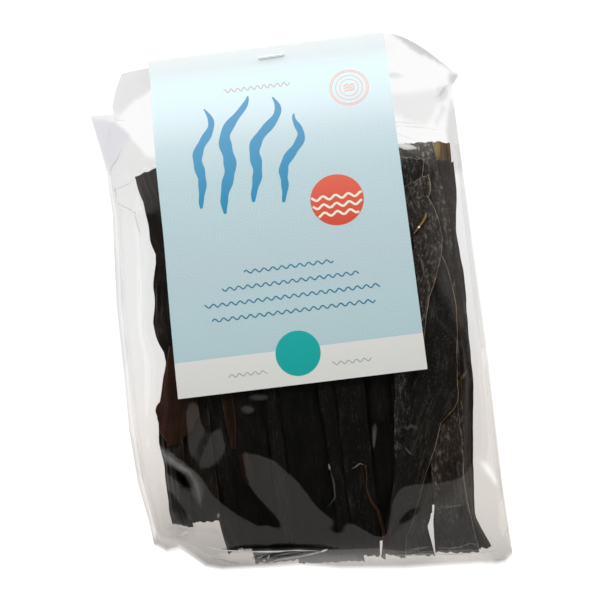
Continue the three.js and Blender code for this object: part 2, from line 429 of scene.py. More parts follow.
card = {
    "width": 115,
    "top": 128.5,  # outside of the fold
    "length": 166,  # of each panel
    "thickness": 0.4,
    "askew": (-1.4, 0.4, 2.6),  # the upper left corner's reach to the left, and the fold's by x
    "askewFrom": (30, 85),
    "mouthLift": 1.3,  # the stapled end stands this far off the table
    "liftedFrom": 40,
    "liftedBy": 108,
    "riseFrom": 119,  # below this line the front panel climbs over the strips
    "rise": 20.4,
    "softness": 0.05,
    "band": 16.5,  # height of the grey band at the foot
    "warp": 0.12,  # how far the loose front panel waves
    "warpLength": 70,  # from crest to crest
    "warpFades": (110, 20),
    "printStops": 1.5,  # short of the fold
    "backStarts": 30,  # where the back panel's print starts
    "columns": 60,
    "frontRows": 120,
    "foldRows": 10,
    "backRows": 60,
    "sharp": 40,  # degrees between faces, from which their edge is sharp
    "bare": "#f1f1ee",
    "bandShade": "#e9e9e4",
    "ringShade": "#e0f0f4",
    "rings": 15,  # millimetres from one ring's middle to the next
    # the print's fade along the card with painted light in it, lightened near the fold as painted
    # light
    "printFadeAndPaintedLight": [
        (0.12, "#bbd5db"), (0.23, "#b9d2d7"), (0.34, "#b7ccd2"), (0.45, "#b4cbd0"),
        (0.6, "#b4cbd0"), (0.67, "#bacfd4"), (0.72, "#c0d3d8"), (0.77, "#ccdde2"),
        (0.82, "#d3e5eb"), (0.88, "#d7ecf2"), (0.93, "#e0f2f8"), (0.955, "#f2fdff"),
        (1.0, "#faffff"),
    ],
}  # fmt: skip
gap = 0.3  # air between pieces that touch
mouthFilm = 0.4  # the two flattened walls of the bag at its mouth
cardFoot = card["top"] - card["length"]


def backPanel(y):
    # height of the back panel's outer face
    return card["mouthLift"] * smooth(card["liftedFrom"], card["liftedBy"], y)


def frontPanel(y):
    # height of the front panel's inner face: flat at the staple, then a quarter sine
    run = np.clip((card["riseFrom"] - y) / (card["riseFrom"] - cardFoot), 0, 1)
    eased = run * run * (1 + card["softness"]) / (run + card["softness"])
    stapled = card["mouthLift"] + card["thickness"] + mouthFilm + 2 * gap
    return stapled + card["rise"] * np.sin(np.pi / 2 * eased)


def cardDip(x, y):
    # a sine across the panel, fading out towards the staple
    wave = 1 + np.sin(2 * np.pi * (x / card["warpLength"] + 0.2))
    return card["warp"] * wave * smooth(*card["warpFades"], y)


def askew(x, y):
    # the fold isn't quite square, so that places move in proportion to how far left and up they are
    left = (card["width"] / 2 - x) / card["width"]
    corner, right, slope = card["askew"]
    moved = x + corner * left * smooth(*card["askewFrom"], y)
    return moved, y + (right + slope * left) * smooth(0, card["top"], y)


def cardPlaces(x, along, lift):
    # a place on the front panel's outer face, by the distance along it from its foot
    y = np.linspace(cardFoot, card["top"] - card["printStops"], 400)
    z = frontPanel(y) + card["thickness"]
    run = runAlong(y, z)
    across, height = np.interp(along, run, y), np.interp(along, run, z) + lift
    return np.stack([*askew(x, across), height - cardDip(x, across)], -1)


def buildCard():
    # the section of the folded sheet, carried across its width
    thickness = card["thickness"]
    back, front = backPanel(card["top"]), frontPanel(card["top"])
    foldMiddle = (back + front + thickness) / 2
    radius = front + thickness - foldMiddle
    foldY = card["top"] - radius
    up = np.linspace(cardFoot, foldY, card["frontRows"])
    turn = np.linspace(np.pi / 2, -np.pi / 2, card["foldRows"] + 2)[1:-1]
    down = np.linspace(foldY, cardFoot, card["backRows"])

    def section(depth):
        # the sheet's section, this deep under its outer face
        y = np.concatenate([up, foldY + (radius - depth) * np.cos(turn), down])
        fold = foldMiddle + (radius - depth) * np.sin(turn)
        upper, lower = frontPanel(up) + thickness - depth, backPanel(down) + depth
        return y, np.concatenate([upper, fold, lower])

    x = np.linspace(-card["width"] / 2, card["width"] / 2, card["columns"])
    dip = np.zeros((len(section(0)[0]), len(x)))
    dip[: len(up)] = cardDip(x[None], up[:, None])
    faces = []
    for depth in (0, thickness):
        y, z = section(depth)
        wide = np.broadcast_to(x, dip.shape)
        faces.append(np.stack([*askew(wide, y[:, None]), z[:, None] - dip], -1))
    places, quads = closedSheet(*faces)
    printed = np.concatenate([np.ones(dip.size), np.zeros(dip.size)])
    along = np.tile(np.repeat(runAlong(*section(0)), len(x)), 2)
    # the back panel's print runs down from the fold again, without the band
    back = along.max() - along + card["backStarts"]
    along = np.where(along > along.max() / 2, back, along)
    marks = {"cardPlace": np.stack([places[:, 0], along, printed], 1)}
    replaced = ["header_card"]
    addPiece("headerCard", places, quads, cardMaterial(), "card", replaced, marks, card["sharp"])


ink = {"lift": 0.03, "sunk": 0.12, "perWave": 18}


def inkStroke(x, along, halfWidth):
    # a band of ink to both sides of a line on the card
    run = np.gradient(np.stack([x, along], -1), axis=0)
    run /= np.linalg.norm(run, axis=1)[:, None]
    sides = np.linspace(1, -1, 5)
    spreadX = x[:, None] - run[:, 1:] * sides * halfWidth[:, None]
    spreadY = along[:, None] + run[:, :1] * sides * halfWidth[:, None]
    faces = [cardPlaces(spreadX, spreadY, lift)[:, ::-1] for lift in (ink["lift"], -ink["sunk"])]
    return closedSheet(*faces)


def inkWave(low, high, along, wavelength, height, halfWidth):
    # a sine across the card
    x = np.linspace(low, high, int((high - low) / wavelength * ink["perWave"]))
    line = along + height * np.sin(2 * np.pi * x / wavelength)
    return inkStroke(x, line, np.full(len(x), halfWidth))


def inkDisc(x, along, radius, steps=24):
    # a square grid drawn out to a disc, by keeping each point's larger coordinate as its radius
    side = np.linspace(-1, 1, steps)
    u, v = np.meshgrid(side, side)
    reach = np.maximum(abs(u), abs(v))
    scale = radius * reach / np.maximum(np.hypot(u, v), 1e-9)
    faces = [cardPlaces(x + u * scale, along + v * scale, h) for h in (ink["lift"], -ink["sunk"])]
    return closedSheet(*faces)


prints = {
    # fronds: foot x, foot distance, length, lean, sway and widest half width
    "fronds": [
        (-38, 88, 50, 7, 4.0, 2.3),
        (-27, 84, 58, 12, 4.6, 2.9),
        (-13, 88, 52, 15, 5.0, 2.6),
        (1, 86, 44, 14, 4.4, 2.2),
    ],
    "sun": (26, 84, 12.5),
    "sunWaves": [(77.5, 9.5), (81.5, 11.6), (85.5, 11.9)],  # distance and half length
    "ripples": [(55, 21), (48, 32), (41, 41), (34, 38)],
    "badge": (0, 14.3, 10.4),
    "bandRipples": [(-33, -15), (15, 33)],
    "seal": (38, 140, (4.4, 6.4, 8.4, 9.2)),
    "buds": (-22, 10, 146),
    # each kind of wave: from crest to crest, height and half width
    "waves": {
        "sun": (6, 0.9, 0.55),
        "ripple": (4.2, 0.75, 0.3),
        "band": (3.6, 0.7, 0.17),
        "seal": (2.6, 0.4, 0.3),
        "bud": (3.2, 0.9, 0.22),
    },
}

# Each piece's ink: its shades at the two ends of a span of the card, from y to y in metres.
inks = {
    "frondPrint": ("blueInk", "#1486b0", "#5b9cc4", (0.05, 0.105)),
    "sunPrint": ("coralInk", "#cf3f26", "#dd6046", (0.03, 0.06)),
    "sunWavePrint": ("creamInk", "#efe6d4", "#efe6d4", (0.03, 0.06)),
    "ripplePrint": ("tealInk", "#2b7d9b", "#2b7896", (-0.01, 0.03)),
    "badgePrint": ("badgeInk", "#0cb0ab", "#12b2ae", (-0.03, 0.0)),
    "bandPrint": ("greyTealInk", "#8aa7a6", "#8aa7a6", (-0.03, 0.0)),
    "sealPrint": ("salmonInk", "#f0b5a4", "#f3c0b2", (0.09, 0.12)),
    "budPrint": ("lilacInk", "#c9a9bb", "#c9a9bb", (0.09, 0.12)),
}


def inkFrond(x, foot, length, lean, sway, width):
    # a line that leans by a power of its length and sways as a sine, thin at both ends
    t = np.linspace(0, 1, 90)
    line = x + lean * t**1.4 + sway * t * np.sin(2 * np.pi * 1.6 * t + x)
    half = width * np.sin(np.pi * np.clip(t * 0.96 + 0.03, 0, 1)) ** 0.6
    half = half * (1 + 0.1 * np.sin(2 * np.pi * 6 * t + x))
    return inkStroke(line, foot + length * t, half)


def inkRing(x, along, radius):
    # a thin circle, all but closed
    turn = np.linspace(0, 2 * np.pi * 0.995, 70)
    halfWidth = np.full(len(turn), 0.2)
    return inkStroke(x + radius * np.cos(turn), along + radius * np.sin(turn), halfWidth)


def buildPrint():
    # thin films of ink on the front panel: fronds, waves and discs
    sun, waves = prints["sun"][0], prints["waves"]
    sunWaves = [inkWave(sun - r, sun + r, row, *waves["sun"]) for row, r in prints["sunWaves"]]
    x, along, radii = prints["seal"]
    seal = [inkRing(x, along, radius) for radius in radii]
    rows = [along + row for row in (-1.4, 0, 1.4)]
    seal += [inkWave(x - 2.6, x + 2.6, row, *waves["seal"]) for row in rows]
    parts = {
        "frondPrint": [inkFrond(*frond) for frond in prints["fronds"]],
        "sunPrint": [inkDisc(*prints["sun"])],
        "sunWavePrint": [(places + [0, 0, ink["lift"]], quads) for places, quads in sunWaves],
        "ripplePrint": [inkWave(-r, r, row, *waves["ripple"]) for row, r in prints["ripples"]],
        "badgePrint": [inkDisc(*prints["badge"])],
        "bandPrint": [inkWave(*ends, 7.6, *waves["band"]) for ends in prints["bandRipples"]],
        "sealPrint": seal,
        "budPrint": [inkWave(*prints["buds"], *waves["bud"])],
    }
    for name, shades in inks.items():
        addPiece(name, *joined(parts[name]), inkMaterial(*shades), "card", sharp=card["sharp"])


staple = {"x": 2, "y": 123.6, "crown": 12.8, "wire": 0.42, "clinch": 4.6, "corner": 0.45}


def buildStaple():
    # a round wire along the crown, down both legs and inwards under the back panel
    r = staple["wire"] / 2
    high = frontPanel(staple["y"]) + card["thickness"] + gap + r
    low = backPanel(staple["y"]) - gap - r
    half = staple["crown"] / 2 - r
    tip = half - staple["clinch"] + r
    corner = staple["corner"]

    def arc(x, z, start, stop):
        turn = np.radians(np.linspace(start, stop, 6))
        return [(x + corner * np.cos(a), z + corner * np.sin(a)) for a in turn]

    inner, outer = low + corner, high - corner
    line = [(-tip, low), *arc(-half + corner, inner, 270, 180)]
    line += [*arc(-half + corner, outer, 180, 90), *arc(half - corner, outer, 90, 0)]
    line += [*arc(half - corner, inner, 0, -90), (tip, low)]
    path = np.array([(staple["x"] + x, staple["y"], z) for x, z in line])
    places, faces = tube(path, r, 12)
    addPiece("stapleWire", places, faces, wireMaterial(), "steel_wire", ["staple"])


# The bag's outline, seen from the front, as four edges between its corners.
outline = {
    "left": [
        (-79, -102.5), (-80, -91.5), (-83.2, -72.3), (-84.6, -48.7),
        (-84.8, 10), (-82.4, 55), (-84, 75.3), (-90.4, 107),
    ],
    "right": [
        (85.2, -124), (85, -117), (84.6, -91), (85.8, -31.6),
        (86, 64), (86.5, 96.4), (90.4, 101),
    ],
    "foot": [
        (-79, -102.5), (-74, -106), (-67.5, -105.3), (-62.5, -109.4), (-56, -114.8),
        (-48.7, -116.8), (-24, -118.2), (-12, -118.5), (6, -122), (18, -123.2),
        (36, -125), (49, -125.4), (70, -126.4), (77, -127.8), (81.5, -127.2), (85.2, -124),
    ],
    "mouth": [
        (-90.4, 107), (-78.6, 106), (-79, 110), (-77, 117.5), (-72.8, 126.2), (-57, 127.2),
        (57, 127.2), (62, 126.3), (67, 123.6), (72.3, 119.8), (77.5, 115), (82.6, 109.3),
        (90.4, 101),
    ],
}  # fmt: skip

bag = {
    "across": 168,
    "along": 236,
    "deep": 6,
    "sideCrease": 11,  # height of the front crease along the sides
    "footCrease": 7.5,
    "backCrease": 1.6,
    "gussetDepth": 3,
    "footBulge": 1.6,
    "clearance": 0.35,
    "sideWave": (60, 0.5),  # the side creases' waves: from crest to crest, and how high
    "footWave": (50, 0.7),
    "risesTo": (-120, -70),  # the side creases rise between these lines, and sink between the
    "sinksTo": (35, 112),  # next two, to this far above what the mouth needs
    "mouthSpare": 0.9,
    "ontoCard": (60, 110),  # between these lines the back wall climbs onto the card's back panel
    "overKelp": 0.9,  # of the taut skin, over the smoothed pile
    "tautPasses": 1200,
    "sink": 8,  # most that a turned facet lies under the taut skin
}


def planPlaces():
    # the flat outline filled in between its four edges
    s, t = np.linspace(0, 1, bag["across"] + 1), np.linspace(0, 1, bag["along"] + 1)
    s, t = np.meshgrid(s, t)
    foot, mouth = evenLine(outline["foot"], s), evenLine(outline["mouth"], s)
    left, right = evenLine(outline["left"], t), evenLine(outline["right"], t)
    ends = [outline[side][i] for side in ("left", "right") for i in (0, -1)]
    filled = []
    for k in (0, 1):
        low, high = mix(ends[0][k], ends[2][k], s), mix(ends[1][k], ends[3][k], s)
        corner = mix(low, high, t)
        filled.append(mix(foot[k], mouth[k], t) + mix(left[k], right[k], s) - corner)
    return filled


def sideCrease(y):
    # height of the crease along the bag's sides, by the line across the pack
    full = mix(bag["footCrease"], bag["sideCrease"], smooth(*bag["risesTo"], y))
    mouth = card["mouthLift"] + card["thickness"] + gap + mouthFilm + bag["mouthSpare"]
    return mix(full, mouth, smooth(*bag["sinksTo"], y))


def overCard(x, y, margin):
    # 1 where the card covers a place, falling to 0 outside its edges
    side = 1 - smooth(card["width"] / 2 + margin, card["width"] / 2 + 2.5 * margin, abs(x))
    return side * smooth(cardFoot - 2.5 * margin, cardFoot - margin, y)


def backFilm(x, y):
    # height of the back wall, which lies on the table or on the card's back panel
    over = (card["thickness"] + gap) * np.maximum(overCard(x, y, 2), smooth(*bag["ontoCard"], y))
    return backPanel(y) + over


pile = {
    "left": [
        (-100, -66.8), (-69, -66.5), (-45, -65), (-18, -61), (-1.5, -65),
        (23, -62.5), (39, -62.8), (71, -66.5),
    ],
    "right": [
        (-120, 72), (-105, 69.5), (-90, 70), (-60, 74.5), (-20, 77),
        (5, 78.5), (24, 77.5), (56, 80.5),
    ],
    "foot": [
        (-68, -93), (-46, -94), (-44, -105), (-30, -107), (-12, -111),
        (10, -115), (40, -117.5), (75, -118),
    ],
    "slit": (46, 55, -97),  # no hidden strip's foot reaches below this between these
    "layers": 5,
    "perLayer": 7,
    "grid": (64, 11),  # rows and columns of a hidden strip's mesh
    "lively": 1.25,  # how strongly it waves
    "shift": (0.25, 0.3),  # in strips' widths, at random and from layer to layer
    "topDrop": 12,
    "footRise": (1.5, 7),
    "tapered": (0.85, 1.0),
    "pressed": (0.3, 2.2),  # least and most
    "thickness": (0.5, 0.85),
    "width": (17, 25),
    "top": 64,
    "end": 66,  # above this line nothing lies under the film
    "least": 3.0,
    "shoulder": (3.2, (-2, 16)),  # how far the sides round off, from outside to inside
    "toe": (1.0, (-6, 8)),
    "besideCard": (0.8, (58, 66)),  # how much higher the pile is there, and where it becomes so
}  # fmt: skip


def railX(side, y):
    # the pile's left or right side
    return bend(pile[side], y, 6)


def insidePile(x, y):
    # distances from the pile's nearer side and from its foot
    fromSide = np.minimum(x - railX("left", y), railX("right", y) - x)
    return fromSide, y - np.interp(x, *np.array(pile["foot"]).T)


def overPile(x, y, side=1, foot=1):
    # true over the pile, and this far outside its sides and its foot
    fromSide, fromFoot = insidePile(x, y)
    return (fromSide > -side) & (fromFoot > -foot) & (y < pile["end"])


def pileTop(x, y):
    # the height that the pile is pressed to: under the card, rounded at its sides and foot
    limit = frontPanel(y) - gap - bag["clearance"] - bag["overKelp"]
    higher, beside = pile["besideCard"]
    limit = mix(limit, limit + higher, smooth(*beside, abs(x)))
    for (lower, reach), inwards in zip((pile["shoulder"], pile["toe"]), insidePile(x, y)):
        limit = limit - lower * (1 - smooth(*reach, inwards))
    return np.maximum(limit, pile["least"])


field = {"x": (-100, 100), "y": (-135, 135), "cell": 1.0}
farOff = 99.0  # stands for no height


def fieldGrid():
    # the places of the cells on which heights are kept
    step = field["cell"]
    return np.meshgrid(*[np.arange(field[k][0], field[k][1] + step, step) for k in "xy"])


def readField(values, x, y):
    # the value between four neighbouring cells, weighed by distance
    fx = np.clip((x - field["x"][0]) / field["cell"], 0, values.shape[1] - 1.001)
    fy = np.clip((y - field["y"][0]) / field["cell"], 0, values.shape[0] - 1.001)
    i, j = fx.astype(int), fy.astype(int)
    u, v = fx - i, fy - j
    low = mix(values[j, i], values[j, i + 1], u)
    return mix(low, mix(values[j + 1, i], values[j + 1, i + 1], u), v)


def markField(values, grids, steps, choose):
    # at a sheet's points, and in steps from each to the next, brings the cells beneath to the
    # choice of their value and the sheet's height
    for s in np.arange(steps) / steps:
        for t in np.arange(steps) / steps:
            between = [mix(grid[:, :-1], grid[:, 1:], s) for grid in grids]
            x, y, z = [mix(grid[:-1], grid[1:], t).ravel() for grid in between]
            i = np.rint((x - field["x"][0]) / field["cell"]).astype(int)
            j = np.rint((y - field["y"][0]) / field["cell"]).astype(int)
            choose.at(values, (j, i), z)


# Facets that mirror the studio's pale walls into the camera, where kelp lies behind the film.
# Each leans its own way by x and y, and then come its corners. Elsewhere over the kelp the film
# lies so flat that it mirrors the dark ceiling, and so do the level spots inside the facets.
facets = [
    ((2.4, 0.0), [
        (-54.5, -40), (-49, -40), (-48.5, -50), (-46, -52.5), (-43, -53), (-39, -56),
        (-37.5, -61), (-39, -66), (-43, -68.5), (-49, -69.5), (-54, -68), (-55.5, -63),
        (-55.5, -50),
    ]),
    ((1.3, 1.6), [
        (-72, -57), (-64, -61), (-60, -65), (-55, -70), (-51, -75), (-45, -84), (-39, -90),
        (-33, -94), (-29, -97), (-18, -100), (-17, -108), (-45, -107), (-46, -97),
        (-57, -95.5), (-61, -88), (-64, -82), (-67, -77), (-72, -75),
    ]),
    ((1.6, 2.0), [
        (-30.5, -64.5), (-28, -65), (-23, -66), (-16, -70), (-10, -75), (-5, -82), (0, -92),
        (5, -97), (8.5, -100), (7, -104), (9, -112), (-17.5, -108), (-17.5, -99),
        (-21, -94), (-26, -87), (-29.5, -81), (-31, -76),
    ]),
    ((1.2, 1.2), [
        (8, -104.5), (12, -101.3), (15, -100.5), (19, -103), (23, -107), (25.5, -110.5),
        (24, -116), (8, -113),
    ]),
    ((-0.9, 2.0), [
        (29.5, -110), (31.5, -103), (33.5, -95), (36, -90), (39, -87), (46, -87), (57, -88),
        (57, -118), (31, -115),
    ]),
    ((-1.4, 2.0), [(56, -88), (68, -87), (74, -80), (82, -70), (82, -118), (56, -118)]),
    ((0.0, 1.2), [
        (-46, -107.5), (8, -108.5), (26, -110), (56, -110), (80, -108), (90, -132),
        (-46, -130),
    ]),
]  # fmt: skip
levelSpots = [
    [(35, -105), (38, -102), (42, -99.5), (45, -98.5), (44, -101), (40, -104)],
    [(-68, -66), (-62, -68), (-55, -77), (-58, -78.5), (-67, -73)],
]
mirror = {
    "eye": (49.82, -57.8),  # over this point a level film mirrors the zenith
    "away": 535,
    "ceiling": (0.36, 0.2),  # a level place is turned to the second slope if over the first
    "walls": (0.46, 0.51),  # a facet is turned to the second slope if under the first
    "passes": 3500,
    "pull": 0.00003,  # towards the taut skin, on each pass
}


def tautSkin(x, y, back, roof):
    # a skin over the smoothed pile: every point moves to its neighbours' mean, but no lower
    # than the pile and no higher than the card
    floor = np.where(overPile(x, y), pileTop(x, y) + bag["overKelp"], 0)
    floor = np.minimum(np.maximum(floor, back + mouthFilm), roof)
    z = np.minimum(np.maximum(floor, back + 8), roof)
    t = np.linspace(0, 1, len(y))
    ends = smooth(0, 0.05, t) * smooth(1, 0.9, t)
    for side in (0, -1):
        z[:, side] = sideCrease(y[:, side]) + wander(y[:, side], *bag["sideWave"]) * ends
    corners = z[0, [0, -1]].copy(), z[-1, [0, -1]].copy()
    z[0] = bag["footCrease"] + wander(x[0], *bag["footWave"])
    z[-1] = np.minimum(frontPanel(y[-1]) - gap, mix(z[-1, 0], 4, 0.5))
    z[0, [0, -1]], z[-1, [0, -1]] = corners
    z[-1] = np.maximum(z[-1], back[-1] + mouthFilm)
    for _ in range(bag["tautPasses"]):
        mean = sum(neighbours(z)) / 4
        z[1:-1, 1:-1] = np.minimum(np.maximum(mean, floor[1:-1, 1:-1]), roof[1:-1, 1:-1])
    return z


def turnedSkin(x, y, taut, back, roof):
    # Each facet's slope is drawn to one that mirrors the walls or the ceiling, and the heights
    # follow those slopes: every point moves to the mean of what its four neighbours ask of it.
    lit = np.zeros(x.shape, bool)
    lean = np.zeros((2, *x.shape))
    for leaning, around in facets:
        inside = within(x, y, around)
        lit |= inside
        lean[:, inside] = np.array(leaning)[:, None]
    for spot in levelSpots:
        lit &= ~within(x, y, spot)
    # dark as far as 6 mm outside the pile, but not past its upper left side
    dark = overPile(x, y, np.where((x < 0) & (y > 52), 0, 6), 6) & ~lit
    low = np.maximum(back + mouthFilm, np.where(overPile(x, y), taut - bag["sink"], 0))
    viewX, viewY = (mirror["eye"][0] - x) / mirror["away"], (mirror["eye"][1] - y) / mirror["away"]
    xs, ys, xt, yt = [np.gradient(v, axis=axis) for axis in (1, 0) for v in (x, y)]
    area = xs * yt - xt * ys
    acrossX, acrossY = np.diff(x, axis=1) / 2, np.diff(y, axis=1) / 2
    alongX, alongY = np.diff(x, axis=0) / 2, np.diff(y, axis=0) / 2
    z = taut.copy()
    for _ in range(mirror["passes"]):
        zs, zt = np.gradient(z, axis=1), np.gradient(z, axis=0)
        slopeX = 2 * (zs * yt - zt * ys) / area + viewX
        slopeY = 2 * (xs * zt - xt * zs) / area + viewY
        size = np.hypot(slopeX, slopeY) + 1e-6
        short = lit & (size < mirror["walls"][0])
        outX, outY = slopeX / size + lean[0], slopeY / size + lean[1]
        outward = mirror["walls"][1] / (np.hypot(outX, outY) + 1e-6)
        steep = dark & (size > mirror["ceiling"][0])
        shrink = np.where(steep, mirror["ceiling"][1] / size, 1)
        wantX = (np.where(short, outX * outward, slopeX * shrink) - viewX) / 2
        wantY = (np.where(short, outY * outward, slopeY * shrink) - viewY) / 2
        across = (wantX[:, 1:] + wantX[:, :-1]) * acrossX + (wantY[:, 1:] + wantY[:, :-1]) * acrossY
        along = (wantX[1:] + wantX[:-1]) * alongX + (wantY[1:] + wantY[:-1]) * alongY
        mean = z[1:-1, :-2] + across[1:-1, :-1] + z[1:-1, 2:] - across[1:-1, 1:]
        mean += z[:-2, 1:-1] + along[:-1, 1:-1] + z[2:, 1:-1] - along[1:, 1:-1]
        mean = mix(mean / 4, taut[1:-1, 1:-1], mirror["pull"])
        z[1:-1, 1:-1] = np.minimum(np.maximum(mean, low[1:-1, 1:-1]), roof[1:-1, 1:-1])
    # softer still where it steps down behind the pile
    behind = smooth(52, 64, y) * smooth(104, 90, y)
    z[1:-1, 1:-1] = mix(blurred(z, 2), blurred(z, 80), behind)[1:-1, 1:-1]
    return np.minimum(np.maximum(z, low), roof)


# Creases pressed into the film, as x, y, x, y, height and half width. A negative one sinks.
creases = [
    (-80, 98, -84, 76, -0.6, 1.8), (-82, 60, -69, 52, 0.5, 1.4),
    (-69, 52, -66, 42, -0.5, 1.4),
    (-48, -109, 0, -113, 0.5, 0.9), (-40, -116, 0, -113, 0.5, 0.9), (77, -84, 82, -94, 0.6, 1.6),
]  # fmt: skip
# Small random creases: where they lie, how far they are turned from upright, and their sizes.
crumples = {
    "count": 70,
    "x": (-88, 88),
    "y": (-124, 122),
    "turned": 0.7,
    "length": (8, 34),
    "height": 0.07,
    "halfWidth": (2.5, 7),
}


def tent(x, y, x0, y0, x1, y1, height, halfWidth):
    # a straight crease: highest on its line, falling evenly to both sides and fading at its ends
    length = np.hypot(x1 - x0, y1 - y0)
    share = ((x - x0) * (x1 - x0) + (y - y0) * (y1 - y0)) / length**2
    near = np.clip(share, 0, 1)
    away = np.hypot(x - mix(x0, x1, near), y - mix(y0, y1, near))
    fade = np.sin(np.pi * np.clip(near, 0.04, 0.96)) ** 0.4
    return height * np.maximum(1 - away / halfWidth, 0) * fade


# How much of a white table's light comes through both walls of the film, by y along each side and
# in patches. The fall towards the foot is partly more layers of film and partly painted shade of
# the pack on the table; the patches are folded layers, painted shade at the foot, and painted
# highlights at the levels 1.0 and 0.97. Warmth reddens it, and below 0 it turns it bluish.
veilAndPaintedLight = {
    "bare": 0.98,
    "left": [
        (-117, 0.34), (-105, 0.43), (-78, 0.68), (-60, 0.77), (-40, 0.83), (-10, 0.855),
        (45, 0.855), (75, 0.8), (126, 0.8),
    ],
    "right": [
        (-126, 0.5), (-115, 0.61), (-100, 0.68), (-78, 0.7), (-56, 0.73), (-10, 0.83), (50, 0.92),
        (70, 1.0),
    ],
    "middle": (-45, 30),  # from the left side's light to the right's, by x
    "sideFold": (0.11, (3, 1), (80, 60)),  # how much a fold takes, its reach inwards, and where
    "footFold": (0.22, (5, 1.5), (60, 40)),  # it ends along the edge
    "warmth": (10, -90),  # none above the first y, and all of it below the second
    "red": 0.06,
    "blue": 0.05,
    "patches": [
        (1.0, 0, [
            (-76, 105.1), (-67.8, 111.2), (-57, 116.7), (-55, 99.6), (-55, 80), (-63.3, 81.6),
            (-66.7, 86.6), (-71.1, 92.8), (-74.6, 97.8), (-78.6, 102.1),
        ]),
        (0.75, -1, [
            (-92, 106.4), (-78.4, 101.6), (-73, 96.3), (-70.9, 92.5), (-76.2, 89.2), (-83, 76.2),
            (-88, 76.2),
        ]),
        (0.9, 0, [(-92, 107.8), (-79.7, 107.7), (-75, 105), (-78.7, 102.5), (-92, 106)]),
        (0.62, 0, [
            (61, 130), (61.5, 126.4), (65, 122.9), (69.2, 118.2), (72.7, 114.9), (77.1, 112),
            (81.5, 108.8), (88, 103.8), (92, 108),
        ]),
        (0.76, 0, [(54, 107.6), (61.1, 106.8), (65.5, 104.2), (62.6, 103.8), (54, 105.2)]),
        (0.64, 0, [(85.5, 102.3), (92, 102), (91, 98), (87.2, 97), (85.5, 98.8)]),
        (0.85, 0, [
            (55, 96.6), (66.4, 95.9), (76.9, 95.9), (84.9, 95.2), (84.5, 91.8), (79.9, 89.5),
            (77.6, 86.4), (74.5, 80.5), (71.4, 78.5), (64.5, 81), (60.2, 84.5), (55, 86.8),
        ]),
        (0.72, 0, [(79.6, 95.8), (86.4, 97.6), (84, 93), (81, 89), (78.8, 90.2)]),
        (0.78, 0, [(81, 87.3), (82.8, 86.5), (79.2, 80.7), (76.5, 77.7), (75.7, 79.2)]),
        (0.74, 0, [
            (85.3, 90.6), (88, 78.2), (88, 54), (81, 54), (80.6, 60), (81.3, 67.7), (80.8, 74.1),
            (82.8, 82.6),
        ]),
        (0.97, 0, [
            (76, -81.5), (78, -82), (81.3, -86.5), (83.2, -93), (81.6, -93), (79.2, -88.5),
        ]),
        (0.4, 1.3, [(-69.5, -94), (-60.5, -95), (-61.2, -103), (-69.5, -102)]),
        (0.42, 1.2, [(-46.4, -109), (-32, -109), (-32, -115.8), (-46.9, -114.4)]),
        (0.38, 1.2, [(-23, -116), (17, -119.6), (17, -124), (-23, -120)]),
    ],
    # where creased layers of film lie over the kelp: how white they turn it, by their own whitening
    # and by painted sheen
    "milkyAndSheen": [
        (0.13, [
            (-24, -117.6), (-20.6, -116.6), (-11.2, -116.2), (-1, -115), (5, -115.8),
            (17.5, -118), (18, -126), (6, -124), (-12, -121), (-26, -120.5),
        ]),
        (0.02, [(28, -121), (30, -112), (46, -99), (58, -94), (73, -92), (75, -123)]),
        (0.06, [(-70, -93), (-69, -88), (-60, -90), (-57, -96), (-62, -98), (-70, -96)]),
    ],
}  # fmt: skip


def veilAndPaintedLightOf(x, y):
    # the share of light that one of the film's two walls lets through, by colour, with painted
    # shade and painted highlights in it
    left, right = [np.interp(y, *np.array(veilAndPaintedLight[side]).T) for side in ("left", "right")]
    share = mix(left, right, smooth(*veilAndPaintedLight["middle"], x))
    # the folds along the left side and the foot take more
    inward = x - np.interp(y, *np.array(outline["left"])[:, ::-1].T)
    upward = y - np.interp(x, *np.array(outline["foot"]).T)
    for fold, away, along in (("sideFold", inward, y), ("footFold", upward, x)):
        taken, reach, ends = veilAndPaintedLight[fold]
        share = share * (1 - taken * smooth(*reach, away) * smooth(*ends, along))
    warmth = smooth(*veilAndPaintedLight["warmth"], y)
    # patches of folded layers, of painted shade at the foot, and of painted highlights
    for level, warm, patch in veilAndPaintedLight["patches"]:
        weight = blurred(within(x, y, patch).astype(float), 2)
        share, warmth = mix(share, level, weight), mix(warmth, warm, weight)
    red, blue = 1 + veilAndPaintedLight["red"] * np.maximum(warmth, 0), 1 - veilAndPaintedLight["blue"] * warmth
    shade = np.stack([red, np.ones_like(share), blue], -1)
    return np.clip(np.sqrt(shade * share[..., None] / veilAndPaintedLight["bare"]), 0, 0.995)


def milkAndSheenOf(x, y):
    # whitish haze where creased film lies over the kelp: its own whitening and painted sheen
    return sum(level * blurred(within(x, y, patch) * 1.0, 2) for level, patch in veilAndPaintedLight["milkyAndSheen"])


